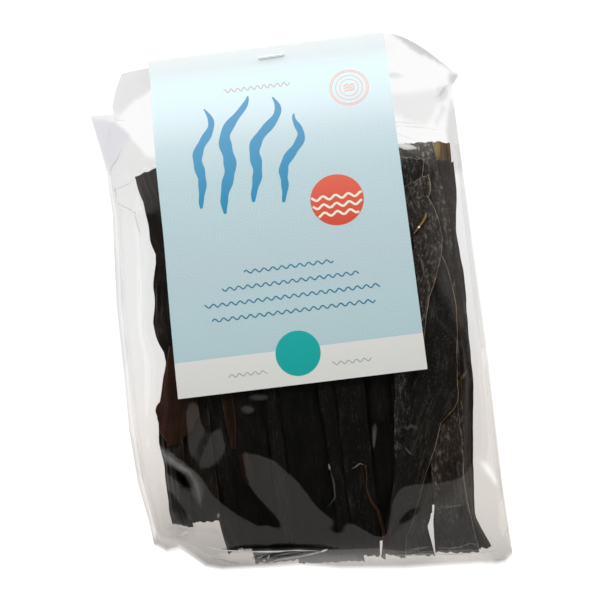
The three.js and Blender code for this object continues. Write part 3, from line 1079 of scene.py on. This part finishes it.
def filmForm():
    # the front film over the plan, with small random creases, and the fields of its heights
    x, y = planPlaces()
    back = backFilm(x, y)
    roof = np.where(overCard(x, y, 1.0) > 0, frontPanel(y) - gap, farOff)
    taut = tautSkin(x, y, back, roof)
    front = turnedSkin(x, y, taut, back, roof)
    rows, columns = [np.minimum(np.arange(n), np.arange(n)[::-1]) for n in x.shape]
    fromRim = np.minimum.outer(rows, columns)
    form = sum(tent(x, y, *crease) for crease in creases)
    for _ in range(crumples["count"]):
        cx, cy = rng.uniform(*crumples["x"]), rng.uniform(*crumples["y"])
        angle = rng.normal(np.pi / 2, crumples["turned"])
        half = rng.uniform(*crumples["length"]) / 2
        dx, dy = np.cos(angle) * half, np.sin(angle) * half
        size = rng.normal(0, crumples["height"]), rng.uniform(*crumples["halfWidth"])
        form += tent(x, y, cx - dx, cy - dy, cx + dx, cy + dy, *size)
    front = np.minimum(np.maximum(front + form * smooth(0, 4, fromRim), back + mouthFilm), roof)
    under, over = [np.full(fieldGrid()[0].shape, value) for value in (farOff, -farOff)]
    markField(under, (x, y, front), 3, np.minimum)
    markField(over, (x, y, front), 3, np.maximum)
    for _ in range(8):
        least = np.minimum.reduce(neighbours(np.pad(under, 1, mode="edge")))
        under = np.where(under == farOff, least, under)
    return x, y, front, back, under, np.where(over < 0, under, over)


def buildFilm(x, y, front, back):
    # the front and back walls, joined by gussets that tuck in and a foot that bulges
    rows, columns = x.shape
    s, t = np.linspace(-1, 1, columns), np.linspace(-1, 1, rows)
    # 1 along the sides and the foot, falling steeply inwards
    edge = np.maximum(abs(s)[None] ** 24, ((1 - t)[:, None] / 2) ** 30)
    back = mix(back, np.maximum(back, bag["backCrease"]), edge)
    rim = rimOf(*x.shape)
    u = np.broadcast_to(s, x.shape).ravel()[rim]
    v = np.broadcast_to(t[:, None], x.shape).ravel()[rim]
    high, low = front.ravel()[rim], back.ravel()[rim]
    openness = np.clip((high - low) / bag["sideCrease"], 0, 1)
    sway = wander(y.ravel()[rim], 45, 0.4)
    rings = []
    for i in range(1, bag["deep"]):
        w = 1 - 2 * i / bag["deep"]
        tuck = (bag["gussetDepth"] + sway) * openness * (1 - abs(w)) * np.sign(u) * abs(u) ** 8
        tuck = tuck * smooth(-1, -0.9, v)
        bulge = bag["footBulge"] * (1 - w * w) * np.clip(-v, 0, 1) ** 8
        place = x.ravel()[rim] - tuck, y.ravel()[rim] - bulge, mix(low, high, (w + 1) / 2)
        rings.append(np.stack(place, -1))
    places, quads = slab(x, y, front, back, rings)
    # the film's greying, with painted shade and painted highlights in it
    tint = veilAndPaintedLightOf(x, y).reshape(-1, 3)
    # the bulge of the foot is greyer than the gussets
    between = np.tile(mix(0.99, 0.9, smooth(-0.96, -1, v)), len(rings))
    tint = np.concatenate([tint, tint, np.repeat(between[:, None], 3, 1)])
    # whitish haze over the kelp, partly painted sheen
    whitened = np.zeros(len(places))
    whitened[: x.size] = milkAndSheenOf(x, y).ravel()
    marks = {"tint": tint, "whitened": whitened}
    addPiece("bagFilm", places, quads, filmMaterial(), "film", ["kelp_bag"], marks, 35)


# Ribbons along the film's creases and folds that carry painted light: what they leave of the light,
# which darkens them as painted shade, how white they are, which is painted glints and highlights,
# how wide, and the x, y points they run through. Each fades to its sides and ends.
creaseShadeAndGlints = [
    (1, 0.6, 1.6, [(-81.8, 76.2), (-74.5, 75), (-67.1, 74.9), (-58, 75)]),
    (0.75, 0, 1, [(-75.5, 88.4), (-78.6, 82.8), (-81.4, 79.2), (-82.8, 75.4)]),
    (0.86, 0, 1.2, [(-81.7, 66.9), (-76.5, 68.5), (-72.5, 69.6), (-71.7, 72)]),
    (0.84, 0, 1.2, [(-80.7, 69.5), (-80.2, 64.5), (-80.8, 60.6)]),
    (0.7, 0, 1, [
        (-79.7, 60.2), (-76.5, 58), (-73.7, 56.2), (-71, 54.1), (-70.4, 50.6), (-69.8, 46.6),
        (-68.8, 42),
    ]),
    (0.88, 0, 0.9, [(-79.4, 107.9), (-84, 108), (-89, 107)]),
    (0.88, 0, 0.9, [(-79, 103.9), (-77.5, 102.8), (-73, 101.5)]),
    (0.8, 0, 1.4, [(86.2, 97.3), (83.1, 95.7), (80.8, 92.6), (80, 90.3)]),
    (0.85, 0, 1, [(81.3, 92.9), (77.3, 91)]),
    (0.84, 0, 0.8, [(55, 81.5), (57.9, 81), (64.3, 79.4), (70.8, 78.2)]),
    (0.84, 0, 0.8, [(55, 79), (58.6, 78.9), (66.4, 77.2), (73.3, 75.5), (77.9, 73.9)]),
    (0.88, 0, 0.9, [(56, 75.5), (59, 74.5), (62.5, 72.1), (65.5, 70.2)]),
    (0.16, 0, 3.4, [
        (-46, -108), (-38, -107.8), (-28, -108.4), (-12, -109.8), (-3, -111), (8, -113),
    ]),
    (0.3, 0, 3.4, [(-33, -113.6), (-22, -113.4), (-12, -113), (-3, -112.9)]),
    (1, 1, 0.8, [
        (-52.8, -106), (-45.4, -108.3), (-31.1, -110.3), (-19.5, -111.4), (-12.6, -111.7),
        (-2.2, -112.9), (-0.5, -113.6),
    ]),
    (1, 1, 0.9, [(-0.8, -113.6), (0.5, -113.2), (2.8, -112.7)]),
    (1, 1, 1.1, [(-52.8, -111), (-49, -112.3), (-44.2, -114.1), (-39, -116.2)]),
    (1, 1, 1, [(-27, -117.3), (-20.6, -115.5), (-11.2, -115.1), (-0.6, -113.7)]),
    (1, 0.5, 0.7, [(-30.8, -113.8), (-29, -113.4), (-27, -112.4)]),
    (1, 0.6, 0.7, [(-25.9, -114.8), (-24.2, -112.3)]),
    (1, 0.25, 0.9, [(-24, -113.8), (-20, -113.2), (-15, -112.8), (-10.5, -112.9)]),
    (1, 0.9, 1.3, [(-28.2, -115.2), (-26.6, -115.4)]),
    (1, 0.9, 1.4, [(77, -126.8), (81, -126.4), (84, -123.6)]),
    (1, 0.2, 1.5, [(-45.5, -93.5), (-44.6, -91)]),
    (0.97, 0.3, 0.9, [(24, -118.5), (45, -119.6), (60, -121.6), (80, -122.2)]),
    (1, 0.1, 1.6, [(36.7, -117), (42, -116.9), (49, -116.4)]),
    (1, 0.12, 1, [
        (51.2, -117.2), (57.4, -118.3), (62, -118.3), (66.7, -117), (70.1, -118.7),
    ]),
    (1, 0.07, 0.8, [(54, -99.3), (60, -99.7), (66, -99.4)]),
    (1, 0.06, 6.5, [(-71, -55), (-68, -62), (-62, -67), (-57, -71)]),
    (1, 0.06, 2.6, [(-70, -57), (-67, -62.5), (-62, -67), (-56.5, -71), (-54, -77)]),
    (1, 0.035, 7, [(-62, -67.5), (-56, -71.5), (-53.5, -78), (-52.5, -88)]),
    (1, 0.035, 2.6, [(-54.5, -73), (-53, -80), (-53, -86)]),
    (1, 0.3, 1.2, [(-69, -93.5), (-64, -95), (-60, -96.5)]),
    (1, 0.4, 1.2, [(-66, -100.5), (-61, -98), (-59.5, -100.5)]),
    (1, 0.12, 1.2, [(7.9, -74.5), (8.2, -77.5)]),
    (1, 0.03, 0.9, [(8.2, -77), (9.3, -84), (9, -90), (5, -94)]),
    (1, 0.04, 2.4, [(31, -59), (30, -64), (29, -70)]),
    (1, 0.03, 4.5, [(-29, -45.5), (-23, -46.5)]),
    (1, 0.025, 3.6, [(-25, -40.5), (-16, -41.5)]),
    (1, 0.7, 3, [(55, 69.4), (59.2, 68.8), (62.3, 67.6), (66, 66.4)]),
    (0.3, 0, 6.5, [(-67, -67.8), (-62.4, -71.2), (-55.6, -79.5)]),
    (0.4, 0, 6, [(-66.5, -79.5), (-64.8, -86), (-61, -95)]),
    (1, 0.025, 2, [(43, -61.5), (45, -63), (47, -61.8), (50, -64)]),
    (1, 0.03, 1.4, [(43, -71), (44.5, -73.5), (46, -75)]),
    (1, 0.08, 0.7, [(18, -78), (20, -77.2), (22, -76), (24, -77)]),
    (1, 0.9, 1, [(61.6, 28.2), (62.6, 29)]),
]  # fmt: skip


ribbon = {"step": 0.8, "ragged": (9, 0.25), "above": 0.05, "stands": 0.15, "thickness": 0.06}


def buildCreaseShadeAndGlints(heights):
    # narrow ribbons that lie on the film along its creases and paint shade and glints on it
    parts, tint, whitened = [], [], []
    for clear, white, width, line in creaseShadeAndGlints:
        length = runAlong(*np.array(line).T)[-1]
        rows = max(6, int(length / ribbon["step"]))
        t, fine = np.linspace(0, 1, rows), np.linspace(0, 1, 60)
        cx, cy = [bend(np.stack([fine, part], 1), t, 0.03) for part in evenLine(line, fine)]
        dx, dy = np.gradient(cx), np.gradient(cy)
        size = np.hypot(dx, dy)
        half = width / 2 * np.sin(np.pi * (0.06 + 0.88 * t)) ** 0.5
        half = half * (1 + wander(t * length, *ribbon["ragged"]))
        u = np.linspace(-1, 1, 7)
        x = cx[:, None] + (dy / size * half)[:, None] * u
        y = cy[:, None] - (dx / size * half)[:, None] * u
        # sharp folds stand up level
        z = readField(heights, x, y) + ribbon["above"]
        z = mix(z, z.max(1)[:, None] + ribbon["stands"], 0.85 * white)
        parts.append(slab(x, y, z, z - ribbon["thickness"]))
        ends = np.sin(np.pi * np.clip(t, 0.02, 0.98)) ** 0.4
        strength = ends[:, None] * (1 - u**2) ** (1.5 - white)
        strength = np.tile(strength.ravel(), 2)
        # what is left of the light paints shade, and the whiteness paints glints
        tint.append(np.repeat(np.sqrt(mix(1, clear, strength))[:, None] * 0.999, 3, 1))
        whitened.append(white * strength)
    marks = {"tint": np.concatenate(tint), "whitened": np.concatenate(whitened)}
    addPiece("filmCreaseShadeAndGlints", *joined(parts), creaseMaterial(), "film", (), marks, 35)


# The strips that show, in the order they were laid. Stations run from foot to top: x, y, width.
# Tone is brown, bloom and lined margin. Each goes from 0 to 1, and brown on to 2, for golden.
# Lined names the margins that are pale: left, right and top. Slant is how much further the right
# margin starts and stops, and soft is how far the corners of its line are rounded.
shownStrips = [
    dict(at=[(-22.6, -117.3, 21.5), (-24, -60, 20), (-20, 50, 18)], tone=(0.1, 0.1, 0.1),
         slant=(0.8, 0)),
    dict(at=[(-2, -119.8, 20), (-3, -60, 21), (0, 55, 18)], tone=(0.1, 0.1, 0), slant=(2, 0)),
    dict(at=[(12.5, -120.4, 10.8), (14, -60, 13), (17, 55, 15)], tone=(0.1, 0.1, 0.2),
         slant=(2, 0)),
    dict(at=[(33, -120.3, 8.7), (34, -100, 9), (35, -60, 12)], tone=(0.05, 0.1, 0),
         slant=(1, 0)),
    dict(at=[(72.5, -30, 8), (75, 20, 8), (78, 69.9, 8.2)], tone=(1.5, 0.1, 0.2), lined="t",
         slant=(0, -1.5)),
    dict(at=[(70.2, -121.6, 11.6), (67.2, -108, 8.5), (66.9, -97, 9), (68, -85, 10),
             (69.6, -75, 10), (71.5, -60, 10), (73, -45, 10), (73.6, -20, 10), (75, 5, 10),
             (74.2, 24, 10), (77.4, 42, 9), (78.2, 59.2, 9)],
         tone=(0.4, 0.5, 0.5), lined="r", grey=1, slant=(2.7, -0.4), soft=4),
    dict(at=[(62, -80, 14), (66, -40, 13), (68, -10, 12), (70, 10, 12), (70.5, 30, 12),
             (68.6, 50, 13), (65.2, 70.6, 17.6)], tone=(0.2, 1, 0.6), lined="t", grey=1,
         slant=(0, -4)),
    dict(at=[(44.5, -101, 14.6), (46, -70, 16), (53, -20, 15), (60, 30, 14), (60.5, 52, 12.5),
             (61.5, 58, 13.5), (61.6, 62.6, 13)], tone=(0.05, 0.8, 1), lined="tr", grey=1,
         slant=(0, -3.2), soft=3),
    dict(at=[(-37.5, -108.3, 15.6), (-38.0, -96, 15.6), (-38.5, -60, 15), (-42, 10, 15),
             (-46, 67, 14)], tone=(0.05, 0.2, 0.6), lined="l", slant=(-4.4, 0)),
    dict(at=[(-51.8, -94.6, 14.4), (-52.8, -91, 16.8), (-53.4, -86, 18.4), (-53.4, -60, 17.8),
             (-52, 10, 13), (-54, 69, 13)],
         tone=(0.15, 0.25, 0.1), slant=(4.3, 0), soft=3),
    dict(at=[(-64.2, -95.8, 12.4), (-65.2, -88, 13.6), (-65, -78, 13.4), (-64.6, -66, 12.6),
             (-64.2, -56, 12.6), (-62, -45, 13), (-59.8, -33, 12.5), (-58.4, -26, 12),
             (-57.2, -20, 12), (-57.4, -13.5, 12), (-59.7, -6.6, 12), (-62, 0, 12),
             (-60.9, 7, 12), (-59.3, 20, 12), (-57.5, 27, 12), (-57.1, 33, 12),
             (-58.8, 40, 12), (-59, 47, 12), (-59.9, 54, 12), (-61.2, 61, 12),
             (-63.6, 68, 12.4), (-65.1, 74.4, 12.8)],
         tone=(0.2, 0.25, 0.1), slant=(2.6, -0.4), soft=2),
    dict(at=[(-27, -109, 17), (-27.5, -60, 16), (-29, 0, 16), (-33, 60, 15)],
         tone=(0.05, 0.1, 0), slant=(0.6, 0)),
    dict(at=[(-13.6, -109.2, 9), (-13.8, -60, 8), (-14, 0, 8), (-15, 64, 9)],
         tone=(0.05, 0.25, 0), slant=(0.6, 0)),
    dict(at=[(-0.8, -111.2, 19), (-1, -60, 19), (-1, 0, 18), (-3, 60, 18)], tone=(0, 0.1, 0),
         slant=(1, 0)),
    dict(at=[(13.5, -117, 10), (12.5, -60, 10), (12, 0, 10), (12, 62, 11)],
         tone=(0, 0.25, 0), slant=(1, 0)),
    dict(at=[(19.9, -118, 11), (20.6, -100, 12.4), (21.5, -60, 13), (22, 0, 13), (24, 64, 14)],
         tone=(0, 0.3, 0), slant=(1.2, 0)),
    dict(at=[(43.7, -121.2, 13.2), (42.2, -110, 13), (42.6, -106, 13), (44.4, -101, 13),
             (48, -85, 12), (51, -60, 12)], tone=(0.15, 0.5, 0.3), lined="l", slant=(5, 0),
         soft=3),
    dict(at=[(60.7, -122, 20.2), (60.2, -110, 18), (60.4, -104, 16.6), (60.6, -99, 15),
             (60.5, -85, 15), (61.5, -70, 14), (62.5, -57, 13), (64, -40, 12)],
         tone=(0.35, 0.8, 1), lined="r", grey=1, slant=(2.3, 0)),
    dict(at=[(31.6, -119, 11), (33.4, -110, 10), (38.4, -100, 12), (42, -90, 13), (45, -80, 14),
             (49.5, -70, 14.5), (52, -64, 14), (53.5, -59, 14.5), (59, -50, 22),
             (60.7, -43, 19.5), (61.8, -35.8, 19), (64.1, -20.8, 19.2), (65.2, -9.4, 19),
             (64.5, 3, 17.6), (63.7, 8, 17.2), (61.7, 20, 14)],
         tone=(0.05, 0.5, 1), lined="r", slant=(2.4, 0), soft=2.5),
    dict(at=[(26.8, -120.6, 2.0), (28.4, -114, 1.6), (29, -108, 1.5), (28, -98.5, 1.3),
             (25.2, -93, 0.7), (23.8, -87, 0.6), (24.5, -82, 0.7), (24.3, -77, 0.5)],
         tone=(1, 0, 0.35), lined="l", soft=1),
    dict(at=[(50, -25, 14), (56, -2, 14), (63.5, 13.7, 14), (65.2, 18, 13), (65.7, 22.8, 13.5),
             (65, 29, 13.5), (64.5, 34.8, 13), (63, 38.9, 13), (61.7, 42.5, 12),
             (62.8, 45.5, 13.8), (63.6, 48.5, 14.2), (63.4, 50.9, 13.4)],
         tone=(0.25, 0.9, 1), lined="rt", grey=0.6, slant=(0, 4), soft=2),
    dict(at=[(-63, -58, 4), (-62.4, -54.5, 10), (-62, -51.5, 15), (-61, -48.5, 18.2),
             (-60.4, -45.7, 19.4), (-60, -43.4, 21.6), (-59, -39.5, 19), (-58.6, -34, 16.4),
             (-57.6, -27, 14), (-56.6, -20, 11), (-55, -12, 9)],
         tone=(1, 0.1, 0.5), lined="l", soft=1),
    dict(at=[(-34.3, -63, 1.5), (-34.2, -56, 3.8), (-34.5, -50, 4.8), (-35, -38, 4.8),
             (-36, -20, 5)], tone=(0.65, 0, 0.1)),
    dict(at=[(-28.6, -80, 4), (-29.5, -74, 7), (-31, -66, 4)], tone=(0.5, 0, 0)),
    dict(at=[(59.6, 25.8, 0.5), (62.2, 28.6, 1), (64.6, 31, 0.9), (66.2, 33.6, 1.1),
             (66.5, 35.2, 0.5)], tone=(2, 0, 0.8), lined="r", grey=0.3, soft=1),
    dict(at=[(69.8, -46.5, 0.5), (73.2, -42.4, 1.1), (76.4, -38.4, 0.7)], tone=(1.4, 0, 0),
         soft=1),
    dict(at=[(59.3, -14.4, 0.6), (61.3, -7.7, 0.7), (63.4, -0.2, 0.7), (61.9, 6, 0.7),
             (61.2, 12.6, 0.7), (60.1, 15.8, 0.5)], tone=(0.2, 0.6, 0.7), lined="lr", grey=1,
         soft=1),
]  # fmt: skip

strip = {
    "thickness": 0.65,
    "rowLength": 1.35,
    "rows": (14, 150),
    "columns": (9, 19),  # of a narrow and of a wide strip
    "wideFrom": 8,
    "soft": 9.0,
    "slants": (1.6, 2.5),  # most at the foot and at the top, where a strip names none
    "edge": 9.0,  # how far inwards the distance from a pale margin counts
    "ragged": 0.16,
    "lively": 0.8,  # how strongly it waves
    "arch": (-1.0, 1.6),
    "archOver": (25, 60),  # the arch comes and goes along it
    "waves": ((75, 0.75, 6), (34, 0.28, -9)),  # crest to crest, height and how far they run askew
    "twist": (90, 0.55),
    "ruffle": (19, 0.4),
    "pleats": (3.2, 5.2),  # from crest to crest
    "pleatHeight": 0.34,
    "slack": 0.05,  # the share of its rows over which a strip spans hollows
    "sagging": 0.35,  # how far it follows them all the same
    "thinned": 0.55,  # at its margins
    "floats": (0.06, 0.04),  # over its support, before and after it is smoothed
}


def stripPlan(form, rows, columns):
    # a line through the stations, widened to both sides, with wavy margins and torn ends
    at = np.array(form["at"], float)
    run = runAlong(*at[:, :2].T)
    length, width = run[-1], at[:, 2].max()
    u = np.sin(np.linspace(-np.pi / 2, np.pi / 2, columns))
    u = mix(np.linspace(-1, 1, columns), u, 0.55)  # closer together at the margins
    slants = form.get("slant", [rng.uniform(-most, most) for most in strip["slants"]])
    torn = min(1, width / 8)
    tornFoot = wander(u * width, 5, 0.35) - wander(u * width, 1.7, 0.2)
    start = slants[0] * u * -0.5 + torn * tornFoot
    stop = slants[1] * u * 0.5 + torn * wander(u * width, 6, 0.3)
    d = mix(start[None], (length + stop)[None], np.linspace(0, 1, rows)[:, None])
    fine = np.linspace(0, length, 400)
    soft = min(form.get("soft", strip["soft"]), length / 6)
    x, y, w = [bend(np.stack([run, column], 1), fine, soft) for column in at.T]
    x = x + wander(fine, 55, 0.3)
    tx, ty = np.gradient(x, fine), np.gradient(y, fine)
    size = np.hypot(tx, ty)
    alongX, alongY = np.interp(d, fine, tx / size), np.interp(d, fine, ty / size)
    ragged = min(strip["ragged"], width * 0.03)
    half = [w / 2 + wander(fine, 24, ragged) + wander(fine, 14, ragged * 0.6) for _ in range(2)]
    half = np.where(u < 0, *[np.interp(d, fine, side) for side in half])
    reach = half * u
    beyond = d - np.clip(d, 0, length)
    px = np.interp(d, fine, x) + alongY * reach + alongX * beyond
    py = np.interp(d, fine, y) - alongX * reach + alongY * beyond
    edge = np.full(d.shape, strip["edge"])
    inwards = {"l": half * (1 + u), "r": half * (1 - u), "t": length + stop - d}
    for margin in form.get("lined", "lr"):
        edge = np.minimum(edge, inwards[margin])
    return px, py, u, d, reach, edge


def stripForm(u, d, width, lively):
    # a shallow arch across, long waves, pleats that run along it and ruffled margins
    # Ribbons on the film along its creases: grey where they paint shade, white where they paint
    # glints.
    sway = 1 + 0.5 * np.sin(d / rng.uniform(*strip["archOver"]))
    arch = rng.uniform(*strip["arch"]) * lively * (1 - u**2) * sway
    waves = sum(wander(d + skew * u, long, high * lively) for long, high, skew in strip["waves"])
    long, high = strip["twist"]
    twist = u * wander(d, long, high * lively)
    turns = width / rng.uniform(*strip["pleats"])
    phase = turns * u / 2 + wander(d, 70, 0.35)
    ridges = np.cos(2 * np.pi * phase) * (0.7 + wander(d + 15 * u, 40, 0.5))
    long, high = strip["ruffle"]
    ruffle = abs(u) ** 3 * wander(d + 40 * np.sign(u), long, high * lively)
    narrow = min(1, width / 12)
    return arch * narrow + waves + twist * narrow + strip["pleatHeight"] * narrow * ridges + ruffle


def layStrip(heights, form, rows, columns, lively):
    # rests a strip on the pile: over each side it follows the highest support nearby
    px, py, u, d, reach, edge = stripPlan(form, rows, columns)
    width = np.array(form["at"])[:, 2].max()
    shape = stripForm(np.broadcast_to(u, d.shape), d, width, lively)
    support = readField(heights, px, py)
    need = support - shape
    window = max(3, int(rows * strip["slack"]))
    span = 2 * window + 1
    sides = []
    for side in (u < 0.15, u > -0.15):
        high = np.pad(need[:, side].max(1), window, mode="edge")
        spread = np.lib.stride_tricks.sliding_window_view(high, span)
        top = mix(spread.max(1), np.quantile(spread, 0.5, axis=1), strip["sagging"])
        padded = np.pad(top, window, mode="edge")
        sides.append(np.convolve(padded, np.ones(span) / span, "valid"))
    tilt = np.clip((u + 0.7) / 1.4, -0.2, 1.2)
    z = mix(sides[0][:, None], sides[1][:, None], tilt[None]) + shape
    z = np.maximum(z, support + strip["floats"][0])
    z = np.maximum(blurred(z, 1), support + strip["floats"][1])
    thickness = form["thickness"] * (1 - strip["thinned"] * abs(u) ** 6)
    markField(heights, (px, py, z + thickness), 2, np.maximum)
    thickness = np.broadcast_to(thickness, z.shape)
    made = dict(x=px, y=py, z=z, thickness=thickness, edge=edge, across=reach, along=d)
    return dict(made, tone=form["tone"], grey=form.get("grey", 0.0))


def hiddenStrips():
    # rows of strips side by side between the pile's two sides, each layer shifted
    made = []
    low, high, slit = pile["slit"]
    stray, shift = pile["shift"]
    for layer in range(pile["layers"]):
        for i in range(pile["perLayer"]):
            share = i + 0.5 + rng.uniform(-stray, stray) + shift * (layer % 2 - 0.5)
            share = np.clip(share / pile["perLayer"], 0.02, 0.98)
            width = rng.uniform(*pile["width"])
            top = pile["top"] - rng.uniform(0, pile["topDrop"])
            y = np.linspace(-100, top, 5)
            inset = width / 2 + 0.8
            x = mix(railX("left", y) + inset, railX("right", y) - inset, share)
            x = x + wander(y, 160, 2.0) * min(share, 1 - share) * 4
            under = x[0] + width * np.array([-0.5, 0, 0.5])
            foot = np.interp(under, *np.array(pile["foot"]).T).max()
            foot = foot + rng.uniform(*pile["footRise"])
            if x[0] + width / 2 > low and x[0] - width / 2 < high:
                foot = max(foot, slit)
            widths = width * rng.uniform(*pile["tapered"], 5)
            tone = (rng.uniform(0, 0.25) ** 1.5, rng.uniform(0, 0.3), rng.uniform(0, 0.1))
            at = list(zip(x, np.linspace(foot, top, 5), widths))
            made.append(dict(at=at, thickness=rng.uniform(*pile["thickness"]), tone=tone))
    return made


def buildKelp(ceiling):
    # lays all the strips, then presses the heap to the height that the film leaves for it
    gridX, gridY = fieldGrid()
    base = backFilm(gridX, gridY) + 0.25
    heights = base.copy()
    forms, usual = hiddenStrips(), (*pile["grid"], pile["lively"])
    hidden = [layStrip(heights, form, *usual) for form in forms]
    shown = []
    for form in shownStrips:
        form.setdefault("thickness", strip["thickness"])
        x, y, widths = np.array(form["at"], float).T
        rows = int(np.clip(runAlong(x, y)[-1] / strip["rowLength"], *strip["rows"]))
        columns = strip["columns"][int(widths.max() > strip["wideFrom"])]
        shown.append(layStrip(heights, form, rows, columns, strip["lively"]))
    covered = heights > base + 0.4
    weight = blurred(covered.astype(float), 60) + 1e-4
    thick = blurred(np.where(covered, heights - base, 0), 60) / weight
    roof = ceiling - bag["clearance"]
    wanted = np.minimum(pileTop(gridX, gridY), blurred(roof, 2) - 0.4) - base
    press = blurred(np.clip(wanted / np.maximum(thick, 1), *pile["pressed"]), 10)
    print("pile pressed by", press[covered].min().round(2), "to", press[covered].max().round(2))
    for form in hidden + shown:
        x, y = form["x"], form["y"]
        ground = readField(base, x, y)
        low = ground + (form["z"] - ground) * readField(press, x, y)
        high = low + form["thickness"]
        over = np.maximum(high - readField(roof, x, y), 0)
        form["low"], form["high"] = low - over, high - over
    material = kelpMaterial()
    for name, group in (("kelpInnerStrips", hidden), ("kelpShownStrips", shown)):
        parts, place, tone, edging = [], [], [], []
        for i, form in enumerate(group):
            parts.append(slab(*[form[key] for key in ("x", "y", "high", "low")]))
            number = np.full(form["z"].shape, 31.7 * i)
            marks = np.stack([form["across"], form["along"], number], -1)
            place += [marks.reshape(-1, 3)] * 2
            tone += [np.tile(form["tone"], (2 * number.size, 1))]
            line = [np.full(number.size, value) for value in (form["tone"][2], form["grey"])]
            edging += [np.stack([form["edge"].ravel(), *line], -1)] * 2
        marks = {"stripPlace": place, "tone": tone, "edging": edging}
        marks = {key: np.concatenate(values) for key, values in marks.items()}
        addPiece(name, *joined(parts), material, "kelp", attributes=marks, sharp=60)


studio = {
    "floorSide": 60.0,  # metres
    "floorDrop": 0.3 * metre,
    "floorGlow": 1.0,
    "walls": [(0.0, 0.5), (0.3, 0.42), (0.908, 0.36), (0.924, 0.02), (1.0, 0.015)],
    "key": {"place": (0.0, 1.0, 0.42), "target": (0, 0.02, 0), "size": (1.5, 0.6), "power": 20},
    "camera": {
        "place": (49.82, -57.8, 553.65),
        "forward": (-0.086, 0.10963, -0.99024),
        "up": (0.12595, 0.98715, 0.09835),
        "lens": 70,
        "sensor": 36,
    },
}


def addFloor():
    # a pale studio table that glows a little, so that it stays white in every view
    mesh = bpy.data.meshes.new("studioFloor")
    side, low = studio["floorSide"], -studio["floorDrop"]
    corners = [(-side, -side, low), (side, -side, low), (side, side, low), (-side, side, low)]
    mesh.from_pydata(corners, [], [(0, 1, 2, 3)])
    floor = bpy.data.objects.new("studioFloor", mesh)
    scene.collection.objects.link(floor)
    material, add = newMaterial("studioPaper")
    paper = add("BsdfDiffuse", {"Color": (0.14, 0.14, 0.14, 1)})
    glow = add("Emission", {"Color": (1, 1, 1, 1), "Strength": studio["floorGlow"]})
    add("OutputMaterial", [add("AddShader", [paper, glow])])
    mesh.materials.append(material)
    floor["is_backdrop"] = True


def addWorld():
    # pale walls and a small dark ceiling right above, as in a light tent with an open top
    scene.world = bpy.data.worlds.new("studio")
    scene.world.use_nodes = True
    add = nodeAdder(scene.world.node_tree)
    upward = add("SeparateXYZ", [add("TexCoord", out="Generated")], 2)
    shade = add("ValToRGB", [upward], stops=studio["walls"])
    add("OutputWorld", [add("Background", {"Color": shade, "Strength": 1.0})])


def addSoftbox():
    # a wide lamp behind the pack's top, turned to its middle
    key = studio["key"]
    light = bpy.data.lights.new("keySoftbox", "AREA")
    light.shape, light.energy = "RECTANGLE", key["power"]
    light.size, light.size_y = key["size"]
    lamp = bpy.data.objects.new("keySoftbox", light)
    scene.collection.objects.link(lamp)
    aim = Vector(key["target"]) - Vector(key["place"])
    lamp.rotation_euler = aim.to_track_quat("-Z", "Y").to_euler()
    lamp.location = key["place"]


def addCamera():
    # looks almost straight down on the pack
    view = studio["camera"]
    place, forward, up = [np.array(view[key]) for key in ("place", "forward", "up")]
    camera = bpy.data.cameras.new("camera")
    camera.lens, camera.sensor_width, camera.clip_start = view["lens"], view["sensor"], 0.01
    turn = np.eye(4)
    turn[:3] = np.stack([np.cross(forward, up), up, -forward, place * metre], 1)
    scene.camera = bpy.data.objects.new("camera", camera)
    scene.camera.matrix_world = Matrix(turn.tolist())
    scene.collection.objects.link(scene.camera)


print("studio")
addCamera()
addFloor()
addWorld()
addSoftbox()
scene.view_settings.view_transform = "Standard"
scene.cycles.transparent_max_bounces = 32

print("card")
buildCard()
buildPrint()
buildStaple()

print("film")
x, y, front, back, ceiling, outside = filmForm()
buildFilm(x, y, front, back)
buildCreaseShadeAndGlints(outside)

print("kelp")
buildKelp(ceiling)

boxes = [[list(map(float, corner)) for corner in box] for box in (cadBox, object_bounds())]
